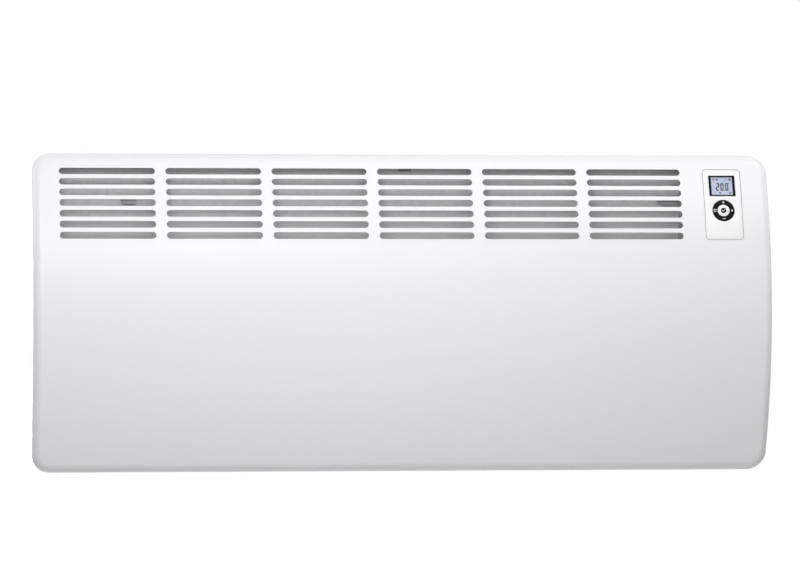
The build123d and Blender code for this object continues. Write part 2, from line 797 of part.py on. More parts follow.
def make_panel():
    inside_radius = bulge_radius - fascia_thickness
    panel_plane = front_plane(panel_x, panel_arc)
    display_plane = front_plane(panel_x, display_arc)
    with BuildPart() as control_fascia:
        outline = rounded_outline(panel_plane, panel_width, panel_height, panel_corner)
        add(curved_slab(outline, bulge_radius, inside_radius))
        extrude(plain_outline(display_plane, display_width + 2 * display_clearance,
                              display_height + 2 * display_clearance),
                amount=2 * fascia_thickness, both=True, mode=Mode.SUBTRACT)
        with BuildSketch(front_plane(panel_x, keys_arc)):
            Circle(key_ring_radius + key_gap)
        extrude(amount=2 * fascia_thickness, both=True, mode=Mode.SUBTRACT)
    save(control_fascia, "control_fascia")

    window_width = display_width - 2 * display_frame_side
    window_height = display_height - 2 * display_frame_top
    pane_back = bulge_radius - display_thickness
    with BuildPart() as display_lens:
        outline = plain_outline(display_plane, window_width, window_height)
        add(curved_slab(outline, bulge_radius, pane_back))
    save(display_lens, "display_lens")
    with BuildPart() as display_bezel:
        outline = plain_outline(display_plane, display_width, display_height)
        add(curved_slab(outline, bulge_radius, pane_back))
        add(display_lens.part, mode=Mode.SUBTRACT)
    save(display_bezel, "display_bezel")


def make_control_housing():
    inside_radius = bulge_radius - fascia_thickness
    housing_width = panel_width - 2 * housing_margin
    housing_height = panel_height - 2 * housing_margin
    cavity_width = housing_width - 2 * housing_wall
    cavity_height = housing_height - 2 * housing_wall
    lip = 2 * (panel_gap + housing_lip)
    panel_plane = front_plane(panel_x, panel_arc)
    floor_plane = control_plane(board_depth + board_thickness + housing_wall)
    cavity_plane = control_plane(board_depth + board_thickness)
    flange_front = bulge_radius - cover_sheet
    with BuildPart() as control_housing:
        extrude(rounded_outline(floor_plane, housing_width, housing_height,
                                panel_corner - housing_margin), amount=control_reach)
        extrude(bulge_section(inside_radius, 0, panel_x), amount=panel_width, both=True,
                mode=Mode.INTERSECT)
        outline = rounded_outline(panel_plane, panel_width + lip, panel_height + lip,
                                  panel_corner + lip / 2)
        add(curved_slab(outline, flange_front, flange_front - housing_flange))
        outline = rounded_outline(panel_plane, panel_width + 2 * display_clearance,
                                  panel_height + 2 * display_clearance,
                                  panel_corner + display_clearance)
        add(curved_slab(outline, bulge_radius, inside_radius), mode=Mode.SUBTRACT)
        extrude(rounded_outline(cavity_plane, cavity_width, cavity_height,
                                panel_corner - housing_margin - housing_wall),
                amount=control_reach, mode=Mode.SUBTRACT)
    save(control_housing, "control_housing")

    with BuildPart() as display_board:
        extrude(plain_outline(cavity_plane, cavity_width - 2 * board_clearance,
                              cavity_height - 2 * board_clearance), amount=board_thickness)
    save(display_board, "display_board")

    with BuildPart() as lcd_module:
        extrude(plain_outline(front_plane(panel_x, display_arc, display_thickness + lcd_gap),
                              display_width - 2 * lcd_margin, display_height - 2 * lcd_margin),
                amount=-board_depth)
        extrude(plain_outline(control_plane(board_depth), panel_width, panel_height),
                amount=-board_depth, mode=Mode.SUBTRACT)
    save(lcd_module, "lcd_module")


def make_keys():
    key_face = bulge_radius + key_proud
    notch = key_gap * sqrt(2) / 2
    for name, turn in (("key_plus", 0), ("key_back", -90), ("key_minus", 180), ("key_menu", 90)):
        base = front_plane(panel_x, keys_arc, key_depth, turn)
        with BuildPart() as key:
            with BuildSketch(base):
                Circle(key_ring_radius)
                Circle(key_centre_radius + key_gap, mode=Mode.SUBTRACT)
                with BuildLine():
                    Polyline((0, notch), (key_ring_radius, key_ring_radius + notch),
                             (-key_ring_radius, key_ring_radius + notch), close=True)
                make_face(mode=Mode.INTERSECT)
            extrude(amount=2 * key_depth)
            extrude(bulge_section(key_face, 0, panel_x), amount=panel_width, both=True,
                    mode=Mode.INTERSECT)
            with BuildSketch(base):
                with Locations((0, key_stem_ring)):
                    Circle(key_stem_radius)
            extrude(amount=-key_stem_length)
        save(key, name)

    base = front_plane(panel_x, keys_arc, key_depth)
    with BuildPart() as key_ok:
        with BuildSketch(base):
            Circle(key_centre_radius)
        extrude(amount=2 * key_depth)
        extrude(bulge_section(key_face, 0, panel_x), amount=panel_width, both=True,
                mode=Mode.INTERSECT)
        with BuildSketch(base):
            Circle(key_stem_radius)
        extrude(amount=-key_stem_length)
    save(key_ok, "key_ok")

    with BuildPart() as key_switches:
        with BuildSketch(front_plane(panel_x, keys_arc, board_depth)):
            with Locations((0, 0), (key_stem_ring, 0), (-key_stem_ring, 0),
                           (0, key_stem_ring), (0, -key_stem_ring)):
                Rectangle(switch_side, switch_side)
        extrude(amount=switch_height)
    save(key_switches, "key_switches")


# ---------------------------------------------------------------- power electronics

def make_electronics():
    board_back = tray_floor - standoff_height
    board_front = board_back - board_thickness
    with BuildPart() as power_board:
        box_between((board_x - board_width / 2, board_x + board_width / 2),
                    (board_front, board_back),
                    (board_z - board_height / 2, board_z + board_height / 2))
    save(power_board, "power_board")

    with BuildPart() as board_standoffs:
        for side_x in (-1, 1):
            for side_z in (-1, 1):
                cylinder_y(board_x + side_x * (board_width / 2 - standoff_inset),
                           board_z + side_z * (board_height / 2 - standoff_inset),
                           board_back, tray_floor, standoff_radius)
    save(board_standoffs, "board_standoffs")

    for name, size, place in (("relay", relay_size, relay_place),
                              ("transformer", transformer_size, transformer_place)):
        x, z = board_x + place[0], board_z + place[1]
        with BuildPart() as component:
            box_between((x - size[0] / 2, x + size[0] / 2), (board_front - size[1], board_front),
                        (z - size[2] / 2, z + size[2] / 2))
            chamfer(component.faces().sort_by(Axis.Y)[0].edges(), 1)
        save(component, name)

    with BuildPart() as capacitor:
        cylinder_y(board_x + capacitor_place[0], board_z + capacitor_place[1],
                   board_front - capacitor_length, board_front, capacitor_radius)
        fillet(capacitor.edges().filter_by(GeomType.CIRCLE).sort_by(Axis.Y)[0], 1)
    save(capacitor, "capacitor")

    x, z = board_x + sink_place[0], board_z + sink_place[1]
    with BuildPart() as heat_sink:
        box_between((x - sink_size[0] / 2, x + sink_size[0] / 2),
                    (board_front - sink_base, board_front),
                    (z - sink_size[2] / 2, z + sink_size[2] / 2))
        fin_step = (sink_size[0] - sink_fin) / (sink_fins - 1)
        for i in range(sink_fins):
            fin_x = x - sink_size[0] / 2 + sink_fin / 2 + i * fin_step
            box_between((fin_x - sink_fin / 2, fin_x + sink_fin / 2),
                        (board_front - sink_size[1], board_front - sink_base),
                        (z - sink_size[2] / 2, z + sink_size[2] / 2))
    save(heat_sink, "heat_sink")

    with BuildPart() as terminal_block:
        box_between((board_x - terminal_size[0] / 2, board_x + terminal_size[0] / 2),
                    (tray_floor - terminal_size[1], tray_floor),
                    (terminal_z - terminal_size[2] / 2, terminal_z + terminal_size[2] / 2))
        with BuildSketch(upright_plane(tray_floor - terminal_size[1])):
            with Locations(*[(board_x + (i - (terminal_ways - 1) / 2) * lead_pitch, terminal_z)
                             for i in range(terminal_ways)]):
                Circle(terminal_hole_radius)
        extrude(amount=-terminal_size[1] / 2, mode=Mode.SUBTRACT)
    save(terminal_block, "terminal_block")


# ---------------------------------------------------------------- mains entry and switch

def make_mains():
    with BuildPart() as cable_gland:
        cylinder_y(gland_x, gland_z, tray_floor - gland_inside, tray_back, gland_barrel_radius)
        cylinder_y(gland_x, gland_z, tray_back, tray_back + gland_outside, gland_flange_radius)
        outer_rim = cable_gland.edges().filter_by(GeomType.CIRCLE).sort_by(Axis.Y)[-1]
        fillet(outer_rim, gland_flange_radius / 4)
        cylinder_y(gland_x, gland_z, tray_floor - gland_inside, tray_back + gland_outside,
                   gland_bore_radius, mode=Mode.SUBTRACT)
    save(cable_gland, "cable_gland")

    with BuildPart() as gland_nut:
        with BuildSketch(upright_plane(tray_floor)):
            with Locations((gland_x, gland_z)):
                RegularPolygon(gland_flange_radius, 6)
                Circle(gland_barrel_radius, mode=Mode.SUBTRACT)
        extrude(amount=gland_nut_thickness)
    save(gland_nut, "gland_nut")

    underside = -tray_half_height
    well_length = rocker_length + 2 * rocker_gap
    well_width = rocker_width + 2 * rocker_gap
    body_length = well_length + 2 * housing_wall
    body_width = well_width + 2 * housing_wall
    pivot_z = underside + rocker_pivot_depth
    with BuildPart() as mains_switch_body:
        with Locations((rocker_x, rocker_y, underside + switch_body_height / 2)):
            Box(body_length, body_width, switch_body_height)
        with Locations((rocker_x, rocker_y, underside - switch_bezel_height / 2)):
            Box(body_length + 2 * switch_bezel_margin, body_width + 2 * switch_bezel_margin,
                switch_bezel_height)
        well_depth = switch_bezel_height + rocker_length / 2
        with Locations((rocker_x, rocker_y, underside - switch_bezel_height + well_depth / 2)):
            Box(well_length, well_width, well_depth, mode=Mode.SUBTRACT)
        with BuildSketch(Plane.XZ.offset(-rocker_y - body_width / 2)):
            with Locations((rocker_x, pivot_z)):
                Circle(rocker_pivot_radius + running_clearance)
        extrude(amount=body_width, mode=Mode.SUBTRACT)
    save(mains_switch_body, "mains_switch_body")

    rise = rocker_length / 2 * tan(radians(rocker_throw))
    face_z = underside - switch_bezel_height
    crown_z = pivot_z + 2 * rocker_pivot_radius
    with BuildPart() as switch_rocker:
        with BuildSketch(Plane.XZ.offset(-rocker_y - rocker_width / 2)):
            with BuildLine():
                Polyline((rocker_x - rocker_length / 2, face_z + rise), (rocker_x, face_z),
                         (rocker_x + rocker_length / 2, face_z),
                         (rocker_x + rocker_length / 2 - rise / 2, pivot_z),
                         (rocker_x + rise, crown_z), (rocker_x - rise, crown_z),
                         (rocker_x - rocker_length / 2, pivot_z + rocker_pivot_radius), close=True)
            make_face()
        extrude(amount=rocker_width)
        axle_length = body_width - 2 * rocker_gap
        with BuildSketch(Plane.XZ.offset(-rocker_y - axle_length / 2)):
            with Locations((rocker_x, pivot_z)):
                Circle(rocker_pivot_radius)
        extrude(amount=axle_length)
    save(switch_rocker, "switch_rocker")


# ---------------------------------------------------------------- leads

def make_leads():
    rod_end = element_end + rod_overhang + rod_pin_length
    rod_start = element_start - rod_overhang - rod_pin_length
    low_z, high_z = element_zs
    board_back = tray_floor - standoff_height
    board_front = board_back - board_thickness
    relay_left = board_x + relay_place[0] - relay_size[0] / 2
    relay_z = board_z + relay_place[1]
    relay_y = board_front - relay_size[1] / 2
    block_left = board_x - terminal_size[0] / 2
    block_y = tray_floor - terminal_size[1] / 2
    block_top = terminal_z + terminal_size[2] / 2
    entry_x = duct_right + lead_pitch
    return_x = rod_start - lead_pitch
    runs = [
        [(rod_end, element_y, high_z), (entry_x, element_y, high_z),
         (entry_x, relay_y, relay_z), (relay_left, relay_y, relay_z)],
        [(rod_end, element_y, low_z), (entry_x, element_y, low_z),
         (entry_x, block_y, terminal_z), (block_left, block_y, terminal_z)],
        [(rod_start, element_y, low_z), (return_x, element_y, low_z),
         (return_x, element_y, high_z), (rod_start, element_y, high_z)],
    ]
    with BuildPart() as internal_leads:
        for points in runs:
            with BuildLine() as route:
                FilletPolyline(*points, radius=lead_bend)
            with BuildSketch(route.line ^ 0):
                Circle(lead_radius)
            sweep(path=route.line)
        for way in (-1, 1):
            with BuildSketch(Plane.XY.offset(block_top)):
                with Locations((board_x + way * lead_pitch, block_y)):
                    Circle(lead_radius)
            extrude(amount=board_z - board_height / 2 - block_top)
        with BuildSketch(Plane.XY.offset(-tray_half_height + switch_body_height)):
            with Locations((rocker_x, block_y)):
                Circle(lead_radius)
        extrude(amount=terminal_z - terminal_size[2] / 2 + tray_half_height - switch_body_height)
    save(internal_leads, "internal_leads")


# ---------------------------------------------------------------- build everything

make_front_cover()
make_cover_fixings()
make_rear_tray()
make_duct()
make_elements()
make_sensors()
make_bracket()
make_latches()
make_panel()
make_control_housing()
make_keys()
make_electronics()
make_mains()
make_leads()
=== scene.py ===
# %% [markdown]
# # Wall panel convector heater
# A wide electric wall heater: a white steel front, bulged from top to bottom and punched
# with rows of outlet slots, over a shallow tray that holds the heating elements, with a
# small display and a round key pad at the top right. The solids come from the packed
# frame, in metres, X to the viewer's right, Y into the wall and Z up. This lesson dresses
# them: it remodels what shows most and gives every piece its finish.

# %% Load the frame
import json
from math import asin, cos, pi, radians, sin, sqrt, tan

import bpy
from mathutils import Matrix, Vector


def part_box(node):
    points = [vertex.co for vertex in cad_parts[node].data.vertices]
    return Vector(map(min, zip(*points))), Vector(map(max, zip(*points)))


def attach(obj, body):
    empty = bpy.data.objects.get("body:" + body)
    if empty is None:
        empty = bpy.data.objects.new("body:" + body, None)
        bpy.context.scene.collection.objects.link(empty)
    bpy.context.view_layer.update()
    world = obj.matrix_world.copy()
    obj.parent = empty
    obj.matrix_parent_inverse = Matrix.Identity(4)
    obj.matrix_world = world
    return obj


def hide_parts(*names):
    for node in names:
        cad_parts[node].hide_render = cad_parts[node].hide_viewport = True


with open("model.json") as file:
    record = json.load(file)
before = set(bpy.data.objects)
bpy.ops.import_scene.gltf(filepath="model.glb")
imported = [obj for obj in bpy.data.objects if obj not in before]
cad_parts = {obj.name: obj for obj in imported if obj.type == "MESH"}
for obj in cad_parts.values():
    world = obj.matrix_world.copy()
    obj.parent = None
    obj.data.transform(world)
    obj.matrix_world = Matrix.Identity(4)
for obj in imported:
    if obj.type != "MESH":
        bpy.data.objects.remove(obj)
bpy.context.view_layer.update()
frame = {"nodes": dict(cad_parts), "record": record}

# %% [markdown]
# ## Camera
# The photograph was taken with a long lens from the left and from a little above the
# heater's middle. Place, turn and focal length were solved from the slots, the control
# panel and the outline.

# %% Camera
camera_place = (-0.8216, -6.6230, 0.04235)
camera_turn = (90.0, 0.0, -7.129)
camera_lens = 209.08

camera_data = bpy.data.cameras.new("camera")
camera_data.lens = camera_lens
camera_data.sensor_width = 36.0
camera = bpy.data.objects.new("camera", camera_data)
camera.location = camera_place
camera.rotation_euler = [radians(angle) for angle in camera_turn]
bpy.context.scene.collection.objects.link(camera)
bpy.context.scene.camera = camera
print("camera", camera_place, "lens", camera_lens, "mm")

# %% [markdown]
# ## Lamps
# The picture is lit by several soft lamps. The strongest stand high on the left and on the
# right, so the upper half of the bulge is bright and the lower half, which faces the floor,
# is greyer. Two side lamps light the rounded ends, and a wide lamp behind, narrowed to a
# beam, lights the back without brightening the floor.

# %% Lamps
heater_middle = (0.0, -0.1, 0.0)


def add_area_light(name, place, size, power, aim=heater_middle):
    """A square soft light at a place, facing a point."""
    data = bpy.data.lights.new(name, "AREA")
    data.shape = "SQUARE"
    data.size = size
    data.energy = power
    light = bpy.data.objects.new(name, data)
    light.location = place
    light.rotation_euler = (Vector(aim) - Vector(place)).to_track_quat("-Z", "Y").to_euler()
    bpy.context.scene.collection.objects.link(light)
    return light


add_area_light("left_key", (-0.90, -2.04, 1.06), 0.35, 17.0)
add_area_light("near_middle", (-0.17, -1.35, 0.62), 0.5, 3.5)
add_area_light("high_right", (1.49, -0.50, 2.29), 0.8, 19.5)
add_area_light("near_right", (0.70, -1.50, 1.50), 0.6, 8.0)
add_area_light("high_middle", (-0.14, -1.57, 1.90), 0.8, 3.9)
add_area_light("low_middle", (0.0, -1.2, -0.5), 0.8, 1.2)
add_area_light("left_side", (-1.3, 0.15, 0.45), 0.5, 3.2, (-0.5, -0.1, 0.0))
add_area_light("right_side", (1.3, 0.15, 0.45), 0.5, 1.6, (0.5, -0.1, 0.0))
back_light = add_area_light("back_light", (0.0, 1.5, 0.0), 1.7, 2.3)
back_light.data.shape = "RECTANGLE"
back_light.data.size_y = 0.8
back_light.data.spread = radians(35)
print("lamps", len(bpy.data.lights))

# %% [markdown]
# ## Shader arithmetic
# A finish is a sum of patterns: grain plus smudges times a strength. Node by node that is
# hard to read, so one small class wraps an output socket. Python's own operators on it add
# the Math nodes, and its node method adds every other kind of node.

# %% Shader arithmetic
class Wire:
    """An output of a shader node that can be added, multiplied and fed on."""

    def __init__(self, tree, socket=None):
        self.tree = tree
        self.socket = socket

    def feed(self, socket, value):
        """Link a wire into a socket, or set the socket's own value."""
        if isinstance(value, Wire):
            self.tree.links.new(value.socket, socket)
        else:
            socket.default_value = value

    def node(self, kind, sockets=None, output=0, **settings):
        """A new node, fed with values or wires, as the wire of one of its outputs."""
        made = self.tree.nodes.new("ShaderNode" + kind)
        for key, value in settings.items():
            setattr(made, key, value)
        for key, value in (sockets or {}).items():
            self.feed(made.inputs[key], value)
        return Wire(self.tree, made.outputs[output])

    def math(self, operation, a, b):
        return self.node("Math", {0: a, 1: b}, operation=operation)

    def __add__(self, other):
        return self.math("ADD", self, other)

    def __sub__(self, other):
        return self.math("SUBTRACT", self, other)

    def __rsub__(self, other):
        return self.math("SUBTRACT", other, self)

    def __mul__(self, other):
        return self.math("MULTIPLY", self, other)

    __radd__ = __add__
    __rmul__ = __mul__

    def over(self, limit):
        """1 where the value is above a limit, 0 elsewhere."""
        return self.math("GREATER_THAN", self, limit)

    def span(self, low, high):
        """A value of 0 to 1 stretched from low to high."""
        return self * (high - low) + low


# %% [markdown]
# ## A finish
# A finish is one material: a Principled shader and the patterns that feed it. The patterns
# read the place on the object, so they stay on the piece when it moves. One method makes
# each pattern that the heater needs: soft noise, crystals, mixed colours and relief.

# %% Finish
class Finish:
    """A material with a Principled shader, and the patterns that feed it."""

    def __init__(self, name, colour, roughness, metallic=0.0, **more):
        self.material = bpy.data.materials.new(name)
        self.material.use_nodes = True
        self.shader = self.material.node_tree.nodes["Principled BSDF"]
        self.start = Wire(self.material.node_tree)
        self.place = self.start.node("TexCoord", output="Object")
        self.set(base_color=(*colour, 1.0), roughness=roughness, metallic=metallic, **more)

    def set(self, **values):
        """Feed sockets of the shader, named in small letters, with values or wires."""
        for key, value in values.items():
            name = key.replace("_", " ").title().replace("Ior", "IOR")
            self.start.feed(self.shader.inputs[name], value)
        return self

    def mapped(self, stretch, turn=(0, 0, 0)):
        """The place on the object, stretched and turned."""
        return self.start.node("Mapping", {"Vector": self.place, "Scale": stretch,
                                           "Rotation": turn})

    def noise(self, scale, detail=2.0, place=None):
        """Soft noise from 0 to 1 whose lumps are about 1 / scale metres."""
        return self.start.node("TexNoise", {"Vector": place or self.place, "Scale": scale,
                                            "Detail": detail})

    def grains(self, scale, output="Color"):
        """Cells like crystals. Their colour is random, their distance is a dome."""
        return self.start.node("TexVoronoi", {"Vector": self.place, "Scale": scale}, output)

    def grey(self, wire):
        """The first channel of a colour as a value."""
        return self.start.node("SeparateColor", {0: wire})

    def height(self):
        """The height on the object in metres."""
        return self.start.node("SeparateXYZ", {0: self.place}, "Z")

    def mixed(self, share, first, second):
        """A colour or a wire, mixed with a second colour by a value."""
        sockets = {0: share, 6: first if isinstance(first, Wire) else (*first, 1.0),
                   7: (*second, 1.0)}
        return self.start.node("Mix", sockets, 2, data_type="RGBA")

    def bump(self, pattern, depth, strength):
        """Feed a height pattern, this deep in metres, to the surface's normal."""
        normal = self.start.node("Bump", {"Height": pattern, "Distance": depth,
                                          "Strength": strength})
        return self.set(normal=normal)


# %% [markdown]
# ## White ground
# The ground of the picture is pure white, but so much light would wash out the heater. So
# the world is white only for a ray that is seen: straight from the camera, in a reflection
# or through a clear pane. For all other rays it is dim.

# %% White ground
ambient_level = 0.14
background_level = 1.0


def seen_share(start):
    """1 for a ray from the camera, a reflection or a clear pane, and 0 for other rays."""
    share = start.node("LightPath", output="Is Camera Ray")
    for kind in ("Is Glossy Ray", "Is Transmission Ray"):
        share = start.math("MAXIMUM", share, start.node("LightPath", output=kind))
    return share


world = bpy.data.worlds.new("studio")
world.use_nodes = True
tree = world.node_tree
tree.nodes.clear()
sky = Wire(tree)
dim, white = [sky.node("Background", {"Color": (1.0, 1.0, 1.0, 1.0), "Strength": level})
              for level in (ambient_level, background_level)]
chosen = sky.node("MixShader", {0: seen_share(sky), 1: dim, 2: white})
sky.feed(tree.nodes.new("ShaderNodeOutputWorld").inputs["Surface"], chosen)
bpy.context.scene.world = world
bpy.context.scene.view_settings.view_transform = "Standard"
print("world", ambient_level, "as a light,", background_level, "where seen")

# %% [markdown]
# ## Pale floor
# The floor lies well below the heater, outside the picture. For seen rays a glow is added
# to its shader, which lifts the grey to white.

# %% Pale floor
floor_lift = 0.8
floor_depth = 0.95
floor_width = 7.0

pale = Finish("pale_floor", (0.75, 0.75, 0.75), 0.8)
tree = pale.material.node_tree
lift = pale.start.node("Emission", {"Strength": seen_share(pale.start) * floor_lift})
both = pale.start.node("AddShader", {0: Wire(tree, pale.shader.outputs[0]), 1: lift})
pale.start.feed(tree.nodes["Material Output"].inputs["Surface"], both)

bpy.ops.mesh.primitive_plane_add(size=floor_width, location=(0, 0, -floor_depth))
floor = bpy.context.object
floor.name = "studio_floor"
floor.data.materials.append(pale.material)
print("floor", floor_depth, "m below the heater's middle")

# %% [markdown]
# ## White powder coat
# The front and the tray are sprayed with polyester powder and baked. The melt levels into
# a satin skin that keeps a faint orange-peel ripple about a millimetre wide. The colour
# drifts a shade in wide soft patches, and the gloss drifts too.

# %% White powder coat
coat_white = (0.85, 0.857, 0.868)
coat_lighter = tuple(channel * 1.02 for channel in coat_white)
coat = Finish("white_powder_coat", coat_white, 0.4, coat_weight=0.08, coat_roughness=0.25)
coat.set(base_color=coat.mixed(coat.noise(3.0, 1.0), coat_white, coat_lighter),
         roughness=coat.noise(140.0).span(0.36, 0.46))
enamel = coat.bump(coat.noise(850.0, 1.0), 0.00003, 0.5).material
print("enamel", enamel.name)

# %% [markdown]
# ## Sheet metals
# Hot-dip galvanised sheet shows spangle: zinc crystals a few millimetres wide, each with
# its own brightness, so the colour and the roughness both follow random cells. The sheet
# behind the outlet turns lighter lower down: painted light. Its tabs are a darker grey,
# and their folded lips darker still, as painted shade. Extruded aluminium shows fine lines
# drawn along the bar.
# Zinc-plated screws and rods are bluish and nearly even, with a little haze.

# %% Sheet metals
spangle = 0.007
painted_light_below = 0.144


def make_galvanised(name, dark, light, bright=None):
    """Galvanised sheet. Where a bright colour is given, it takes over lower down, as painted light.
    """
    finish = Finish(name, light, 0.55, 0.55)
    crystals = finish.grey(finish.grains(1 / spangle))
    share = crystals * 0.75 + finish.noise(160.0) * 0.25
    smudge = finish.noise(18.0, 3.0)
    colour = finish.mixed(share, dark, light)
    if bright:
        # Painted light: lower down the sheet takes the lighter colour.
        colour = finish.mixed((painted_light_below - finish.height()) * 25.0, colour, bright)
    finish.set(base_color=colour, roughness=(share * 0.14 + smudge * 0.1) + 0.46)
    return finish.bump(crystals + finish.noise(900.0), 0.00002, 0.35).material


galvanised = make_galvanised("galvanised_sheet", (0.40, 0.405, 0.41), (0.49, 0.495, 0.50))
# Dark grey for the tabs' lips, where it is painted shade from the slots' upper edges, and for the
# dark clip.
shade_and_clip_sheet = make_galvanised("painted_shade_and_clip_sheet", (0.14, 0.142, 0.146), (0.195, 0.198, 0.202))
tab_sheet = make_galvanised("tab_sheet", (0.26, 0.263, 0.267), (0.325, 0.328, 0.332))
# The duct sheet behind the outlet is lighter lower down: painted light.
duct_sheet = make_galvanised("duct_sheet", (0.41, 0.415, 0.42), (0.50, 0.505, 0.51),
                             bright=(0.71, 0.715, 0.72))

drawn = Finish("extruded_aluminium", (0.72, 0.72, 0.73), 0.38, 1.0)
lines = drawn.noise(1.0, 4.0, drawn.mapped((3.0, 1800.0, 1800.0)))
drawn.set(base_color=drawn.mixed(lines, (0.58, 0.59, 0.6), (0.82, 0.82, 0.83)),
          roughness=lines.span(0.3, 0.46))
aluminium = drawn.bump(lines, 0.00003, 0.4).material

plated = Finish("zinc_plated_steel", (0.6, 0.61, 0.63), 0.32, 1.0)
haze = plated.noise(220.0, 3.0)
plated.set(base_color=plated.mixed(haze, (0.5, 0.51, 0.54), (0.68, 0.69, 0.7)),
           roughness=haze.span(0.24, 0.42))
zinc_steel = plated.bump(plated.noise(1400.0), 0.00001, 0.4).material
print("metals with crystals", round(spangle * 1000), "mm wide")

# %% [markdown]
# ## Plastics, rubber and ceramic
# Moulded parts take the texture of their mould. The white control panel has a fine satin
# spark texture, the black keys a smoother one, and the dark and grey technical parts a
# coarse one that hides flow marks. One maker serves them all, with the grain's width and
# depth as its arguments. Rubber is duller, and steatite insulators are off-white with
# tiny dark specks.

# %% Plastics, rubber and ceramic
def make_moulded(name, colour, roughness, grain=0.0006, depth=0.00002, drift=0.06, **more):
    """A moulded skin of fine grain, whose colour drifts darker by a share."""
    finish = Finish(name, colour, roughness, **more)
    texture = finish.noise(1 / grain, 3.0)
    cloud = finish.noise(40.0)
    darker = tuple(channel * (1 - drift) for channel in colour)
    finish.set(base_color=finish.mixed(cloud, darker, colour),
               roughness=(texture * 0.08 + cloud * 0.06) + (roughness - 0.07))
    return finish.bump(texture, depth, 0.5).material


white_plastic = make_moulded("white_panel_plastic", (0.915, 0.92, 0.925), 0.38, drift=0.015)
black_plastic = make_moulded("black_key_plastic", (0.006, 0.006, 0.007), 0.42,
                             specular_ior_level=0.06)
dark_plastic = make_moulded("dark_grey_plastic", (0.06, 0.06, 0.066), 0.5, 0.0009, 0.00004)
grey_plastic = make_moulded("grey_plastic", (0.34, 0.35, 0.36), 0.48, 0.0009, 0.00004)
rubber = make_moulded("black_rubber", (0.035, 0.035, 0.037), 0.78, 0.0012, 0.00005, 0.2)
# Grey for the strip in the panel's hairline gap: painted shade.
gap_shade_grey = make_moulded("painted_gap_shade_grey", (0.37, 0.365, 0.365), 0.7, 0.0012, 0.00003, 0.1)
sleeve = make_moulded("silicone_sleeve", (0.42, 0.1, 0.055), 0.55, 0.0007, 0.00003, 0.15)
segment_ink = make_moulded("segment_ink", (0.006, 0.008, 0.022), 0.5)
white_ink = make_moulded("white_ink", (0.82, 0.82, 0.83), 0.45)

stone = Finish("steatite", (0.8, 0.77, 0.7), 0.36)
specks = stone.noise(1500.0).over(0.66)
stone.set(base_color=stone.mixed(specks, (0.8, 0.77, 0.7), (0.5, 0.46, 0.4)),
          roughness=stone.noise(260.0).span(0.28, 0.46))
steatite = stone.bump(stone.noise(700.0), 0.00003, 0.4).material
print("finishes so far", len(bpy.data.materials))

# %% [markdown]
# ## Circuit board and display
# The solder mask is a glossy green over copper tracks, which show as slightly raised,
# lighter lines. A brick pattern stood on edge gives runs and corners that read as tracks.
# The display is a backlit grey-blue film that glows unevenly, more towards its lamp at
# the bottom, behind a clear pane.

# %% Circuit board and display
board = Finish("circuit_board", (0.02, 0.16, 0.07), 0.28)
upright_place = board.mapped((220, 220, 220), (radians(90), 0, 0))
bricks = {"Vector": upright_place, "Scale": 1.0, "Mortar Size": 0.05, "Brick Width": 1.4,
          "Row Height": 0.6, "Color1": (0, 0, 0, 1), "Color2": (0, 0, 0, 1),
          "Mortar": (1, 1, 1, 1)}
tracks = board.grey(board.start.node("TexBrick", bricks, "Color", offset=0.37, squash=1.6,
                                     squash_frequency=3))
pads = 1 - board.grains(260.0, "Distance").over(0.24)
copper = board.mixed(tracks, (0.012, 0.12, 0.05), (0.03, 0.24, 0.1))
board.set(base_color=board.mixed(pads * tracks, copper, (0.55, 0.56, 0.55)),
          roughness=board.noise(300.0).span(0.2, 0.36))
board_green = board.bump(tracks + pads * 0.5, 0.00005, 0.5).material

glow_top = 0.2
glow_fall = 12.0
lit = Finish("backlit_film", (0.3, 0.33, 0.42), 0.4, emission_strength=0.45)
glow = (glow_top - lit.height()) * glow_fall + lit.noise(60.0) * 0.15
lit.set(emission_color=lit.mixed(glow, (0.36, 0.42, 0.6), (0.5, 0.54, 0.68)))
backlit_film = lit.bump(lit.noise(2500.0), 0.00001, 0.2).material

clear = Finish("clear_pane", (0.5, 0.53, 0.62), 0.15, alpha=0.06, specular_ior_level=0.2)
clear_pane = clear.set(roughness=clear.noise(180.0).span(0.12, 0.2)).material
print("finishes", len(bpy.data.materials))

# %% [markdown]
# ## Dress the solids
# Every solid gets the finish that the record names for it, in its material slots. The
# solid itself isn't touched. One helper finishes the new pieces below. It also hangs each
# piece on the body it rides on and hides the solids it replaces.

# %% Dress the solids
finish_of_slot = {
    "white_enamel": enamel, "galvanised": galvanised, "bare_aluminium": aluminium,
    "steel": zinc_steel, "ceramic_white": steatite, "white_plastic": white_plastic,
    "black_plastic": black_plastic, "dark_plastic": dark_plastic,
    "grey_plastic": grey_plastic, "display_glass": clear_pane, "lcd": backlit_film,
    "board_green": board_green, "rubber": rubber, "lead_sleeve": sleeve,
}
slot_of_node = {part["node"]: part["material_slot"] for part in frame["record"]["subparts"]}
for name, node in frame["nodes"].items():
    node.data.materials.clear()
    node.data.materials.append(finish_of_slot[slot_of_node[name]])
frame["nodes"]["air_deflector"].data.materials[0] = duct_sheet
print("dressed", len(frame["nodes"]), "solids")


def finish_piece(piece, material, slot, *nodes, body="heater"):
    """Give a piece its finish and its body, and hide the nodes it replaces. The slot argument is not
    used.
    """
    piece.data.materials.clear()
    piece.data.materials.append(material)
    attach(piece, body)
    if nodes:
        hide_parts(*nodes)


# %% [markdown]
# ## Hands
# Small helpers stand for what a modeller's hands do between operators: let go of
# everything, take one object, edit all of it, or pick the vertices, edges or faces that
# pass a test. The last one names a new piece and bakes its place and size into its mesh.

# %% Hands
def leave_edit():
    """Go back to object mode."""
    bpy.ops.object.mode_set(mode="OBJECT")


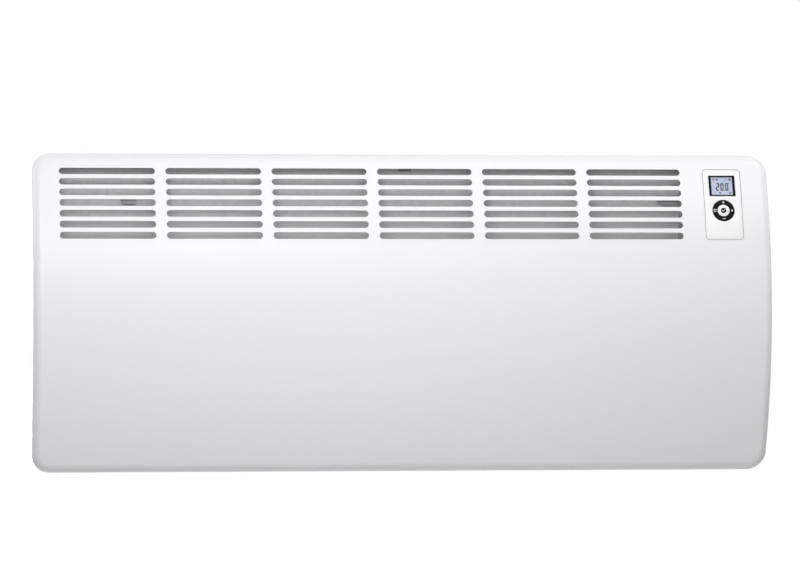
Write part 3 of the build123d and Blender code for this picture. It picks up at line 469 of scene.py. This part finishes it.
def let_go():
    """Leave edit mode and deselect every object."""
    if bpy.context.object and bpy.context.object.mode != "OBJECT":
        leave_edit()
    bpy.ops.object.select_all(action="DESELECT")


def take(piece):
    """Select one object alone and make it active."""
    let_go()
    piece.select_set(True)
    bpy.context.view_layer.objects.active = piece


def edit_all(piece, action="SELECT"):
    """Edit one object with all of it selected, or none of it."""
    take(piece)
    bpy.ops.object.mode_set(mode="EDIT")
    bpy.ops.mesh.select_all(action=action)


def pick(piece, kind, test):
    """In edit mode, select the vertices, edges or faces of a kind that pass a test."""
    edit_all(piece, "DESELECT")
    bpy.ops.mesh.select_mode(type=kind)
    leave_edit()
    mesh = piece.data
    if kind == "VERT":
        for vertex in mesh.vertices:
            vertex.select = test(vertex.co)
    elif kind == "EDGE":
        for edge in mesh.edges:
            edge.select = test(*[mesh.vertices[i].co for i in edge.vertices])
    else:
        for face in mesh.polygons:
            face.select = test(face.normal)
    bpy.ops.object.mode_set(mode="EDIT")


def place_mesh(piece, name):
    """Name a piece and bake its object's place, turn and size into its mesh."""
    take(piece)
    bpy.ops.object.transform_apply(location=True, rotation=True, scale=True)
    piece.name = piece.data.name = name
    return piece


# %% [markdown]
# ## The bulge
# The press shop punches the front flat and then rolls it to one radius. The same order
# works here: each front piece is modelled flat, with its depth along Y, and then rolled.
# A point at a depth below the face lands on a cylinder that is smaller by that depth, so
# the sheet keeps its thickness.

# %% Sizes of the front
cover_low, cover_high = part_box("front_cover")
half_width = cover_high.x
half_height = cover_high.z
bulge_radius = 0.480
bulge_centre_y = cover_low.y + bulge_radius
top_arc = bulge_radius * asin(half_height / bulge_radius)
print("cover", 2 * half_width, "x", 2 * half_height, "bulge centre", bulge_centre_y)


def height_on_bulge(arc):
    """Height of a point that lies this far up along the bulge."""
    return bulge_radius * sin(arc / bulge_radius)


def roll(piece):
    """Roll flat work, whose depth is Y, onto the bulge."""
    for vertex in piece.data.vertices:
        radius = bulge_radius - vertex.co.y
        vertex.co.y = bulge_centre_y - sqrt(radius**2 - vertex.co.z**2)


# %% [markdown]
# ## Slot punch
# An outlet slot is 135 mm long and 10 mm wide, with round ends. Its punch starts as a
# circle whose halves are moved apart, and is pulled along Y into a bar. Like most work
# below, it is drawn flat, with X to the right, Z up and the depth along Y.

# %% Slot punch
slot_length = 0.135
slot_width = 0.010
punch_points = 34
through = (-0.003, 0.003)
end_reach = (slot_length - slot_width) / 2


def extrude(x, y):
    """In edit mode, pull what is picked along X and Y, with new faces behind it."""
    bpy.ops.mesh.extrude_region_move(TRANSFORM_OT_translate={"value": (x, y, 0)})


def pull(piece, depth):
    """Pull a flat outline along Y into a closed solid."""
    edit_all(piece)
    extrude(0, depth)
    bpy.ops.mesh.select_all(action="SELECT")
    bpy.ops.mesh.normals_make_consistent(inside=False)
    leave_edit()


def lay(piece, turn=0.0, place=(0, 0, 0)):
    """Turn a piece anticlockwise, as the viewer sees it, and then move it."""
    piece.data.transform(Matrix.Translation(place) @ Matrix.Rotation(-turn, 4, "Y"))


bpy.ops.mesh.primitive_circle_add(vertices=punch_points, radius=slot_width / 2,
                                  fill_type="NGON", rotation=(radians(90), 0, 0))
punch = place_mesh(bpy.context.object, "slot_punch")
for side in (-1, 1):
    pick(punch, "VERT", lambda co: co.x * side > 0 and abs(co.x) < end_reach)
    bpy.ops.transform.translate(value=(side * end_reach, 0, 0))
pull(punch, through[1] - through[0])
lay(punch, place=(0, through[0], 0))
print("slot punch", len(punch.data.vertices), "points")

# %% [markdown]
# ## Rows of slots
# The punch is copied for all 42 slots. The rows sit 16 mm apart along the bulge, so seen
# from the front they draw closer together and get lower towards the top.

# %% Rows of slots
slot_pitch = 0.150
slot_count = 6
slot_rows = 7
row_pitch = 0.016
slot_margin = 0.0375
top_row_drop = 0.0282
first_slot_x = -half_width + slot_margin + slot_length / 2


def copy_piece(piece, name, move=(0, 0, 0), stretch=(1, 1, 1)):
    """A copy with its own mesh, stretched about the origin and then moved."""
    twin = piece.copy()
    twin.data = piece.data.copy()
    twin.name = twin.data.name = name
    bpy.context.scene.collection.objects.link(twin)
    twin.data.transform(Matrix.Translation(move) @ Matrix.Diagonal((*stretch, 1)))
    return twin


def join(pieces, name):
    """Join pieces into the first."""
    let_go()
    for piece in pieces:
        piece.select_set(True)
    bpy.context.view_layer.objects.active = pieces[0]
    bpy.ops.object.join()
    pieces[0].name = pieces[0].data.name = name
    return pieces[0]


punches = []
for row in range(slot_rows):
    arc = top_arc - top_row_drop - row * row_pitch
    squeeze = (1, 1, cos(arc / bulge_radius))
    for i in range(slot_count):
        place = (first_slot_x + i * slot_pitch, 0, height_on_bulge(arc))
        punches.append(copy_piece(punch, "punch", place, squeeze))
bpy.data.objects.remove(punch)
print("slot punches", len(punches))
slot_tool = join(punches, "slot_tool")

# %% [markdown]
# ## Control panel opening
# The control unit sits flush in a rounded window at the top right, with a hairline gap
# all round. Its width and place come from the fascia's solid, and its height is measured
# along the bulge. The block that cuts the window is drawn flat, as the punches are.

# %% Control panel opening
panel_low, panel_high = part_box("control_fascia")
panel_x = (panel_low.x + panel_high.x) / 2
panel_width = panel_high.x - panel_low.x
panel_height = 0.1053
panel_drop = 0.0237
panel_arc = top_arc - panel_drop - panel_height / 2
panel_corner = 0.0045
panel_gap = 0.0008


def new_cube(name, low, high):
    """A box between two corners, with its place in its mesh."""
    middle = [(a + b) / 2 for a, b in zip(low, high)]
    size = [b - a for a, b in zip(low, high)]
    bpy.ops.mesh.primitive_cube_add(size=1, location=middle, scale=size)
    return place_mesh(bpy.context.object, name)


def new_block(name, width, height, front, back, corner=0.0, steps=6, x=0.0, z=0.0):
    """A flat block with rounded corners, in X and Z about a place, between two depths."""
    low = (x - width / 2, front, z - height / 2)
    high = (x + width / 2, back, z + height / 2)
    block = new_cube(name, low, high)
    if corner > 0:
        pick(block, "EDGE", lambda a, b: abs(a.y - b.y) > abs(back - front) / 2)
        bpy.ops.mesh.bevel(offset=corner, segments=steps, affect="EDGES")
        leave_edit()
    return block


window_low = height_on_bulge(panel_arc - panel_height / 2 - panel_gap)
window_high = height_on_bulge(panel_arc + panel_height / 2 + panel_gap)
panel_tool = new_block("panel_tool", panel_width + 2 * panel_gap, window_high - window_low,
                       *through, panel_corner + panel_gap, 8, panel_x,
                       (window_low + window_high) / 2)
print("panel at x", round(panel_x, 5), "arc", round(panel_arc, 5))

# %% [markdown]
# ## Front cover, drawn and punched
# The front is one drawn and punched steel sheet. It is made from a box: round the four
# corners, open the back, roll over the front edge and give the sheet its thickness. Then
# the slots and the control window are punched.

# %% Front cover, drawn and punched
cover_sheet = 0.0009
cover_return = 0.030
cover_corner = 0.026
edge_round = 0.012
front_flat = 1e-5


def apply_modifier(piece, kind, **settings):
    """Add a modifier, set it and apply it."""
    take(piece)
    modifier = piece.modifiers.new(kind.lower(), kind)
    for key, value in settings.items():
        setattr(modifier, key, value)
    bpy.ops.object.modifier_apply(modifier=modifier.name)


def cut(piece, *tools):
    """Cut tools out of a piece and throw the tools away."""
    for tool in tools:
        apply_modifier(piece, "BOOLEAN", object=tool, operation="DIFFERENCE", solver="EXACT")
        bpy.data.objects.remove(tool)


def faces_back(normal):
    """A test for faces that look along Y, away from the viewer."""
    return normal.y > 0.9


cover = new_cube("heater_front", (-half_width, 0, -half_height),
                 (half_width, cover_return, half_height))
pick(cover, "EDGE", lambda a, b: abs(a.y - b.y) > cover_return / 2)
bpy.ops.mesh.bevel(offset=cover_corner, segments=14, affect="EDGES")
pick(cover, "FACE", faces_back)
bpy.ops.mesh.delete(type="FACE")
pick(cover, "EDGE", lambda a, b: abs(a.y) < front_flat and abs(b.y) < front_flat)
bpy.ops.mesh.bevel(offset=edge_round, segments=10, affect="EDGES")
leave_edit()
apply_modifier(cover, "SOLIDIFY", thickness=cover_sheet, offset=-1.0)
cut(cover, slot_tool, panel_tool)
print("punched cover", len(cover.data.polygons), "faces")

# %% [markdown]
# ## Softened openings
# A punch leaves a fine round where it enters the sheet, and the powder coat widens it. Of
# the sharp edges, only those that lie in the front face and border an opening are rounded.

# %% Softened openings
punched_round = 0.0004
rounding_slack = 0.001


def is_punched_edge(a, b):
    """An edge of the front face that borders a punched opening."""
    in_face = abs(a.y) < front_flat and abs(b.y) < front_flat
    return in_face and max(abs(a.x), abs(b.x)) < half_width - edge_round - rounding_slack


edit_all(cover, "DESELECT")
bpy.ops.mesh.select_mode(type="EDGE")
bpy.ops.mesh.edges_select_sharp(sharpness=radians(60))
leave_edit()
points = cover.data.vertices
for edge in cover.data.edges:
    if edge.select:
        edge.select = is_punched_edge(*[points[i].co for i in edge.vertices])
bpy.ops.object.mode_set(mode="EDIT")
bpy.ops.mesh.bevel(offset=punched_round, segments=2, affect="EDGES")
leave_edit()
print("softened cover", len(cover.data.polygons), "faces")

# %% [markdown]
# ## Front cover, rolled
# The flat sheet is sliced into levels and rolled to the bulge. Last, four countersinks for
# the screws are cut into its lower return with short cones, whose places come from the
# screws' solid.

# %% Front cover, rolled
roll_step = 0.006
screw_low, screw_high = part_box("cover_screws")
screw_head_radius = (screw_high.y - screw_low.y) / 2
screw_y = (screw_low.y + screw_high.y) / 2
screw_count = 4
screw_span = screw_high.x - screw_low.x - 2 * screw_head_radius
screw_xs = [(i / (screw_count - 1) - 0.5) * screw_span for i in range(screw_count)]
countersink_slack = 0.00005
cone_depth = 0.002
cone_foot = 0.0005


def slice_levels(piece, low, high, step):
    """Cut a flat piece across at even levels, so that it has edges to bend at."""
    count = int((high - low) / step)
    for i in range(1, count):
        edit_all(piece)
        level = low + (high - low) * i / count
        bpy.ops.mesh.bisect(plane_co=(0, 0, level), plane_no=(0, 0, 1))
    leave_edit()


def shade(piece, angle=35):
    """Smooth shading, sharp where the faces turn by more than an angle."""
    take(piece)
    bpy.ops.object.shade_smooth_by_angle(angle=radians(angle))


slice_levels(cover, -half_height, half_height, roll_step)
roll(cover)
cone_radius = screw_head_radius + countersink_slack + cone_foot
for x in screw_xs:
    bpy.ops.mesh.primitive_cone_add(vertices=40, radius1=cone_radius,
                                    radius2=cone_radius - cone_depth, depth=cone_depth,
                                    location=(x, screw_y, screw_low.z + cone_depth / 2 - cone_foot))
    cut(cover, place_mesh(bpy.context.object, "countersink_tool"))
shade(cover, 40)
apply_modifier(cover, "WEIGHTED_NORMAL", keep_sharp=True)
finish_piece(cover, enamel, "white_enamel", "front_cover")
print("front cover", len(cover.data.polygons), "faces")

# %% [markdown]
# ## Tabs behind the slots
# Through the slots one sees two tabs, bent out of the duct's front, that keep it off the
# cover, and a small clip at the top. Each is a strip of sheet, wider at its upper end: a
# thin block whose two lower corners are drawn together. A tab's upper end is folded over
# into a lip, which is a shorter strip that overlaps its face. The lip's darker grey is
# painted shade from the slot's upper edge.

# %% Tabs behind the slots
strip_thickness = 0.0008
strip_edge = 0.0002
tab_front = -0.0722
lip_front = -0.0729
clip_front = -0.0745


def new_strip(name, low_x, high_x, low_z, high_z, slants, front, sheet):
    """A strip of sheet behind the cover, whose lower corners are drawn in by its slants."""
    strip = new_cube(name, (low_x, front, low_z), (high_x, front + strip_thickness, high_z))
    middle_x, middle_z = (low_x + high_x) / 2, (low_z + high_z) / 2
    for side, slant in zip((-1, 1), slants):
        pick(strip, "VERT", lambda co: co.z < middle_z and (co.x - middle_x) * side > 0)
        bpy.ops.transform.translate(value=(-side * slant, 0, 0))
    apply_modifier(strip, "BEVEL", width=strip_edge, segments=2)
    finish_piece(strip, sheet, "galvanised")
    print(name, round((high_x - low_x) * 1000, 1), "mm wide")


new_strip("duct_tab_left", -0.4005, -0.3765, 0.1536, 0.1640, (0.0037, 0.0019), tab_front, tab_sheet)
new_strip("duct_tab_right", 0.3640, 0.3995, 0.1480, 0.1640, (0.0155, 0.0), tab_front, tab_sheet)
# The lips' dark grey is painted shade under the slots' upper edges.
new_strip("duct_lip_left", -0.4003, -0.3768, 0.1583, 0.1640, (0.0012, 0.0008), lip_front, shade_and_clip_sheet)
new_strip("duct_lip_right", 0.3645, 0.3993, 0.1585, 0.1640, (0.0045, 0.0), lip_front, shade_and_clip_sheet)
new_strip("duct_clip", -0.0050, 0.0140, 0.2012, 0.2060, (0.0012, 0.0012), clip_front, shade_and_clip_sheet)

# %% [markdown]
# ## Bending small work
# The control unit's pieces are drawn flat, with their height measured along the bulge, and
# are then wrapped onto it: a point's height becomes an angle, and its depth shortens the
# radius. Circles stay round on the curved face this way. Stiff work, such as the display's
# film, stands square to the bulge and isn't bent.

# %% Bending small work
bend_step = 0.005


def wrap(piece, arc):
    """Wrap flat work, centred on the origin, onto the bulge at a height along it."""
    for vertex in piece.data.vertices:
        angle = (arc + vertex.co.z) / bulge_radius
        radius = bulge_radius - vertex.co.y
        vertex.co.x += panel_x
        vertex.co.y = bulge_centre_y - radius * cos(angle)
        vertex.co.z = radius * sin(angle)


def stand(piece, arc):
    """Stand stiff work, centred on the origin, square to the bulge at a height along it."""
    angle = arc / bulge_radius
    foot = (panel_x, bulge_centre_y - bulge_radius * cos(angle), bulge_radius * sin(angle))
    piece.data.transform(Matrix.Translation(foot) @ Matrix.Rotation(-angle, 4, "X"))


def lay_on_bulge(piece, arc, material, slot, *nodes):
    """Slice flat work, wrap it onto the bulge, shade it and finish it."""
    heights = [vertex.co.z for vertex in piece.data.vertices]
    slice_levels(piece, min(heights), max(heights), bend_step)
    wrap(piece, arc)
    shade(piece)
    finish_piece(piece, material, slot, *nodes)
    print(piece.name, len(piece.data.polygons), "faces")


# %% [markdown]
# ## Control panel front
# The white moulding that fills the cover's window carries a rectangular hole for the
# display and a round one for the keys. Its front edges and the two holes have a small
# radius.

# %% Control panel front
display_width = 0.0377
display_height = 0.0316
display_drop = 0.0090
keys_rise = 0.0428
display_z = panel_height / 2 - display_drop - display_height / 2
keys_z = keys_rise - panel_height / 2
key_ring_radius = 0.01575
key_gap = 0.00025
display_gap = 0.0001
panel_depth = 0.002
sharp_angle = radians(50)


def soften(piece, amount, segments=2):
    """Round the sharp edges of a piece."""
    apply_modifier(piece, "BEVEL", width=amount, segments=segments, limit_method="ANGLE",
                   angle_limit=sharp_angle)


def new_disc(name, radius, front, back, points=64, x=0.0, z=0.0):
    """A flat disc between two depths: a filled circle pulled along Y."""
    bpy.ops.mesh.primitive_circle_add(vertices=points, radius=radius, fill_type="NGON",
                                      location=(x, front, z), rotation=(radians(90), 0, 0))
    disc = place_mesh(bpy.context.object, name)
    pull(disc, back - front)
    return disc


panel_front = new_block("control_panel_front", panel_width, panel_height, 0, panel_depth,
                        panel_corner, 10)
display_hole = new_block("tool", display_width + 2 * display_gap, display_height + 2 * display_gap,
                         *through, z=display_z)
keys_hole = new_disc("tool", key_ring_radius + key_gap, *through, 72, z=keys_z)
cut(panel_front, display_hole, keys_hole)
soften(panel_front, 0.0004, 3)
lay_on_bulge(panel_front, panel_arc, white_plastic, "white_plastic", "control_fascia")

# %% [markdown]
# ## Panel seal
# A grey strip closes the hairline gap round the panel, a little below the faces. Its grey
# is painted shade, so that the gap draws a fine grey line. It is a block with the panel cut
# out of it.

# %% Panel seal
seal_slack = 0.00002
seal_front = 0.00035
seal_back = 0.00085
seal_reach = 2 * (panel_gap - seal_slack)
panel_seal = new_block("panel_seal", panel_width + seal_reach, panel_height + seal_reach,
                       seal_front, seal_back, panel_corner + panel_gap, 8)
cut(panel_seal, new_block("tool", panel_width + 2 * seal_slack, panel_height + 2 * seal_slack,
                          *through, panel_corner, 8))
lay_on_bulge(panel_seal, panel_arc, gap_shade_grey, "rubber")

# %% [markdown]
# ## Display frame and pane
# A black frame holds a clear pane a touch below its own face. Both are flush with the
# panel, so the display reads as one dark rectangle with a pale window.

# %% Display frame and pane
frame_side = 0.0034
frame_top = 0.0019
frame_back = 0.0018
pane_front = 0.0001
pane_slack = 0.00004
window_width = display_width - 2 * frame_side
window_height = display_height - 2 * frame_top
display_arc = panel_arc + display_z

display_frame = new_block("display_frame", display_width, display_height, 0, frame_back, 0.0003, 2)
cut(display_frame, new_block("tool", window_width, window_height, *through))
soften(display_frame, 0.0002)
lay_on_bulge(display_frame, display_arc, black_plastic, "black_plastic", "display_bezel")

display_pane = new_block("display_pane", window_width - pane_slack, window_height - pane_slack,
                         pane_front, frame_back)
soften(display_pane, 0.0001)
lay_on_bulge(display_pane, display_arc, clear_pane, "display_glass", "display_lens")

# %% [markdown]
# ## Display film
# The film behind the pane is lit from below and carries the print. The ink lies a
# twentieth of a millimetre in front of it.

# %% Display film
ink_front = 0.00201
film_front = 0.00206
film_back = 0.0021
ink = (ink_front, film_front)
film = new_block("display_film", window_width + 0.002, window_height + 0.002,
                 film_front, film_back, 0.0006, 3)
stand(film, display_arc)
finish_piece(film, backlit_film, "lcd")
print("film", round(window_width * 1000, 1), "mm wide in the window")

# %% [markdown]
# ## Display figures
# The print shows the set temperature in seven-segment figures. A segment is a bar with
# pointed ends: a block whose two ends are pulled to a point. It is modelled once, and each
# figure takes copies of the segments that it lights. The figures lean by a few degrees.

# %% Display figures
figure_height = 0.0124
figure_width = 0.0050
stroke = 0.0020
figure_z = -0.0008
figure_xs = (("2", -0.0059), ("0", 0.0004), ("0", 0.0073))
point_x = 0.0038
point_size = 0.0013
lean = 0.05
end_height = 0.15
rise = (figure_height - stroke) / 4
run = (figure_width - stroke) / 2
segment_places = {
    "top": (0, 2 * rise, 0), "middle": (0, 0, 0), "bottom": (0, -2 * rise, 0),
    "top_left": (-run, rise, 90), "top_right": (run, rise, 90),
    "low_left": (-run, -rise, 90), "low_right": (run, -rise, 90),
}
lit_segments = {
    "2": ("top", "top_right", "middle", "low_left", "bottom"),
    "0": ("top", "top_left", "top_right", "low_left", "low_right", "bottom"),
}

segment = new_block("segment", figure_width - stroke * 1.5, stroke, *ink)
for side in (-1, 1):
    pick(segment, "FACE", lambda normal: normal.x * side > 0.9)
    extrude(side * stroke / 2, 0)
    bpy.ops.transform.resize(value=(1, 1, end_height))
leave_edit()
marks = []
for figure, figure_x in figure_xs:
    for place in lit_segments[figure]:
        x, z, turn = segment_places[place]
        mark = copy_piece(segment, "mark", stretch=(rise / run if turn else 1, 1, 1))
        lay(mark, radians(turn), (figure_x + x, 0, figure_z + z))
        marks.append(mark)
bpy.data.objects.remove(segment)
marks.append(new_block("mark", point_size, point_size, *ink, 0.0003, 2, point_x,
                       figure_z - 2 * rise))
for mark in marks:
    for vertex in mark.data.vertices:
        vertex.co.x += (vertex.co.z - figure_z) * lean
print("segments and point", len(marks))

# %% [markdown]
# ## Display marks
# Small plain marks stand along the display's top and bottom edges: a clock, a sun, a ring,
# a frame and two pointers. Each is made of rings, discs and bars. They are joined with
# the figures into one print, which stands on the film.

# %% Display marks
top_z = 0.0106
low_z = -0.0104
degree_z = figure_z + 0.0052
clock_x, sun_x, ring_x, frame_x = -0.0114, -0.0065, 0.0060, 0.0120
arrow_x, bulb_x, degree_x = -0.0029, 0.0115, 0.0118


def new_ring(name, outer, inner, front, back, points=20, x=0.0, z=0.0):
    """A flat ring: a disc with a smaller disc cut out."""
    ring = new_disc(name, outer, front, back, points, x, z)
    cut(ring, new_disc("tool", inner, front - 0.001, back + 0.001, points, x, z))
    return ring


marks += [
    new_ring("mark", 0.0007, 0.00035, *ink, 14, degree_x, degree_z),
    new_ring("mark", 0.0017, 0.0011, *ink, x=clock_x, z=top_z),
    new_block("mark", 0.0006, 0.0013, *ink, x=clock_x, z=top_z + 0.0005),
    new_disc("mark", 0.0014, *ink, 16, sun_x, top_z),
    new_block("mark", 0.0044, 0.0007, *ink, x=sun_x, z=top_z),
    new_ring("mark", 0.0017, 0.0012, *ink, x=ring_x, z=top_z),
    new_block("mark", 0.0036, 0.0028, *ink, 0.0009, 3, frame_x, top_z),
    new_disc("mark", 0.0015, *ink, 4, arrow_x, low_z + 0.0004),
    new_block("mark", 0.0007, 0.0014, *ink, x=arrow_x, z=low_z - 0.0014),
    new_ring("mark", 0.0018, 0.0010, *ink, 5, bulb_x, low_z),
    new_block("mark", 0.0010, 0.0012, *ink, x=bulb_x, z=low_z - 0.0019),
]
picture = join(marks, "display_marks")
stand(picture, display_arc)
finish_piece(picture, segment_ink, "lcd")
print("display marks", len(picture.data.polygons), "faces")

# %% [markdown]
# ## Round key pad
# Four black keys make a ring, each a quarter with a hairline gap to its neighbours, and a
# white key sits in the middle. One quarter is spun: its section, a rectangle from the
# inner to the outer radius, sweeps round the pad's centre. The front edges get a small
# radius.

# %% Round key pad
keys_arc = panel_arc + keys_z
key_centre_radius = 0.00865
key_face = -0.0003
key_depth = 0.004
key_slack = radians(0.75)
half_sweep = radians(45) - key_slack
ring_inner = key_centre_radius + key_gap
ring_middle = ((ring_inner + key_ring_radius) / 2, (key_face + key_depth) / 2, 0)

bpy.ops.mesh.primitive_plane_add(size=1, location=ring_middle)
key_quarter = bpy.context.object
key_quarter.scale = (key_ring_radius - ring_inner, key_depth - key_face, 1)
place_mesh(key_quarter, "key_quarter")
lay(key_quarter, half_sweep)
edit_all(key_quarter)
bpy.ops.mesh.spin(steps=20, angle=2 * half_sweep, center=(0, 0, 0), axis=(0, -1, 0))
bpy.ops.mesh.select_all(action="SELECT")
bpy.ops.mesh.remove_doubles(threshold=1e-7)
bpy.ops.mesh.normals_make_consistent(inside=False)
leave_edit()
soften(key_quarter, 0.00025)
print("key quarter", len(key_quarter.data.polygons), "faces")

# %% [markdown]
# ## Key symbols
# Each key carries a white symbol: plus at the top, minus at the bottom, a page for the
# menu and a small house for going back. They are thin prints, made of turned bars and,
# for the roof, of a disc with three points.

# %% Key symbols
symbol = (key_face - 0.00003, key_face + 0.0001)


def new_bar(width, height, x=0.0, z=0.0, turn=0.0, depths=symbol):
    """A thin printed bar, turned about its own middle."""
    bar = new_block("bar", width, height, *depths)
    lay(bar, turn, (x, 0, z))
    return bar


plus_symbol = join([new_bar(0.0042, 0.0009), new_bar(0.0009, 0.0032)], "key_plus_symbol")
minus_symbol = join([new_bar(0.0046, 0.0007)], "key_minus_symbol")
page_bars = ((0.0034, 0.0007, 0, 0.0017), (0.0034, 0.0007, 0, -0.0017),
             (0.0007, 0.0041, -0.0017, 0), (0.0007, 0.0020, 0.0017, 0.0010),
             (0.0016, 0.0007, 0.0012, -0.0001))
page_symbol = join([new_bar(*bar) for bar in page_bars], "key_menu_symbol")
roof = new_disc("roof", 0.0017, *symbol, 3, 0, 0.0006)
house_symbol = join([roof, new_bar(0.0019, 0.0016, 0, -0.0009)], "key_back_symbol")
print("page symbol", len(page_symbol.data.polygons), "faces")

# %% [markdown]
# ## Keys round the ring
# The quarter is copied to its four places, each with a stem behind that pushes the switch
# on the board. The symbols ride on their own key, so they sink with it.

# %% Keys round the ring
key_stem = 0.006
key_stem_radius = 0.0015
key_stem_ring = 0.0122
stem_depths = (key_depth - 0.0005, key_stem)

for key, angle, key_symbol in (("key_plus", radians(90), plus_symbol),
                               ("key_minus", radians(-90), minus_symbol),
                               ("key_menu", pi, page_symbol),
                               ("key_back", 0.0, house_symbol)):
    piece = copy_piece(key_quarter, key + "_cap")
    stem = new_disc("stem", key_stem_radius, *stem_depths, 24, key_stem_ring)
    soften(stem, 0.0003)
    join([piece, stem], key + "_cap")
    lay(piece, angle)
    wrap(piece, keys_arc)
    shade(piece)
    finish_piece(piece, black_plastic, "black_plastic", key, body=key)
    lay(key_symbol, place=(key_stem_ring * cos(angle), 0, key_stem_ring * sin(angle)))
    wrap(key_symbol, keys_arc)
    finish_piece(key_symbol, white_ink, "white_plastic", body=key)
    print(key, "at", round(angle / pi * 180), "degrees")
bpy.data.objects.remove(key_quarter)

# %% [markdown]
# ## Middle key
# The middle key is a white disc with a softer edge. It has a black dot with a white tick,
# which are two thin prints, one on the other.

# %% Middle key
ok_key = new_disc("key_ok_cap", key_centre_radius, key_face, key_depth, 64)
soften(ok_key, 0.0004, 3)
join([ok_key, new_disc("stem", key_stem_radius, *stem_depths, 24)], "key_ok_cap")
wrap(ok_key, keys_arc)
shade(ok_key)
finish_piece(ok_key, white_plastic, "white_plastic", "key_ok", body="key_ok")

ok_dot = new_disc("key_ok_dot", 0.0040, *symbol, 40)
wrap(ok_dot, keys_arc)
finish_piece(ok_dot, black_plastic, "black_plastic", body="key_ok")

tick_depths = (symbol[0] - 0.00003, symbol[0])
tick = join([new_bar(0.0024, 0.0009, -0.0013, -0.0004, radians(-45), tick_depths),
             new_bar(0.0044, 0.0009, 0.0009, 0.0003, radians(52), tick_depths)], "key_ok_tick")
wrap(tick, keys_arc)
finish_piece(tick, white_ink, "white_plastic", body="key_ok")
print("middle key", len(ok_key.data.polygons), "faces")

# %% [markdown]
# ## Wall bumpers
# Two rubber bumpers at the bottom keep the heater parallel to the wall. A turned or
# moulded bumper has a rounded rim and a dished face, which grips like a suction cup. It
# starts as a disc pulled along Y. Its face is inset and pushed in twice for the dish, and
# once more for the hole of its mould's pin.

# %% Wall bumpers
bumper_low, bumper_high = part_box("wall_bumpers")
bumper_radius = (bumper_high.z - bumper_low.z) / 2
bumper_z = (bumper_low.z + bumper_high.z) / 2
bumper_reach = bumper_high.x - bumper_radius
dish_steps = ((0.0024, -0.0006), (0.0012, -0.0006))
pin_inset = 0.0022
pin_depth = 0.002


def new_bumper(name, x):
    """A round rubber bumper that faces the wall, with a dish in its face."""
    bumper = new_disc(name, bumper_radius, bumper_low.y, bumper_high.y, 48, x, bumper_z)
    pick(bumper, "FACE", faces_back)
    for border, depth in dish_steps:
        bpy.ops.mesh.inset(thickness=border)
        bpy.ops.transform.translate(value=(0, depth, 0))
    bpy.ops.mesh.inset(thickness=pin_inset)
    extrude(0, -pin_depth)
    leave_edit()
    soften(bumper, 0.0012, 4)
    shade(bumper, 50)
    return bumper


bumper_pair = [new_bumper("wall_bumper", side * bumper_reach) for side in (-1, 1)]
bumpers = join(bumper_pair, "wall_bumper_pair")
finish_piece(bumpers, rubber, "rubber", "wall_bumpers")
print("bumpers", len(bumpers.data.polygons), "faces")

# %% [markdown]
# ## Countersunk screw
# The cover's lower return is held to the tray's clips by countersunk screws. A screw is a
# disc whose back is drawn in to the shank's width at 45 degrees, then pulled into a shank
# with a short point. A cross recess is cut into the head by two crossed blocks that taper.

# %% Countersunk screw
shank_radius = 0.0020
head_depth = screw_head_radius - shank_radius
point_length = 0.0015
point_taper = 0.35
shank_length = screw_high.z - screw_low.z - head_depth - point_length
recess_width = 0.0011
recess_length = 0.0042
recess_depth = 0.0016
recess_taper = 0.5

screw = new_disc("screw", screw_head_radius, 0, head_depth, 40)
pick(screw, "FACE", faces_back)
shrink = shank_radius / screw_head_radius
bpy.ops.transform.resize(value=(shrink, 1, shrink))
extrude(0, shank_length)
extrude(0, point_length)
bpy.ops.transform.resize(value=(point_taper, 1, point_taper))
leave_edit()
for width, height in ((recess_length, recess_width), (recess_width, recess_length)):
    blade = new_block("tool", width, height, -0.001, recess_depth)
    pick(blade, "FACE", faces_back)
    bpy.ops.transform.resize(value=(recess_taper, 1, recess_taper))
    cut(screw, blade)
soften(screw, 0.00012)
print("screw", len(screw.data.polygons), "faces")

# %% [markdown]
# ## Screws along the lower edge
# The screw was modelled lying down. Its copies are turned upright under the heater, each
# at its own angle, as screws stop where they are tight.

# %% Screws along the lower edge
screw_turn = 0.5
upright = Matrix.Rotation(radians(90), 4, "X")

screw_row = []
for i, x in enumerate(screw_xs):
    twin = copy_piece(screw, "screw")
    place = Matrix.Translation((x, screw_y, screw_low.z))
    twin.data.transform(place @ upright @ Matrix.Rotation(screw_turn * i, 4, "Y"))
    screw_row.append(twin)
bpy.data.objects.remove(screw)
screws = join(screw_row, "lower_edge_screws")
shade(screws)
finish_piece(screws, zinc_steel, "steel", "cover_screws")
print("screws", len(screw_row))

# %% [markdown]
# ## Marks on the mains rocker
# The rocker under the heater shows I on its tilted half and O on its flush half, printed
# in white. The marks are a bar and a ring that lie on the two halves and ride with them.

# %% Marks on the mains rocker
rocker_low, rocker_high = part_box("switch_rocker")
rocker_middle = (rocker_low + rocker_high) / 2
rocker_tilt = radians(14)
mark_reach = 0.0044
mark_lift = mark_reach * tan(rocker_tilt)
mark_depths = (-0.00003, 0.0001)

on_mark = new_bar(0.0009, 0.0042, depths=mark_depths)
off_mark = new_ring("off_mark", 0.0019, 0.0012, *mark_depths, 28)
for mark, x, lift, tilt in ((on_mark, -mark_reach, mark_lift, rocker_tilt),
                            (off_mark, mark_reach, 0.0, 0.0)):
    place = Matrix.Translation((rocker_middle.x + x, rocker_middle.y, rocker_low.z + lift))
    mark.data.transform(place @ Matrix.Rotation(tilt, 4, "Y") @ upright)
rocker_marks = join([on_mark, off_mark], "rocker_marks")
finish_piece(rocker_marks, white_ink, "white_plastic", body="switch_rocker")
print("rocker marks at", [round(value, 4) for value in rocker_middle])
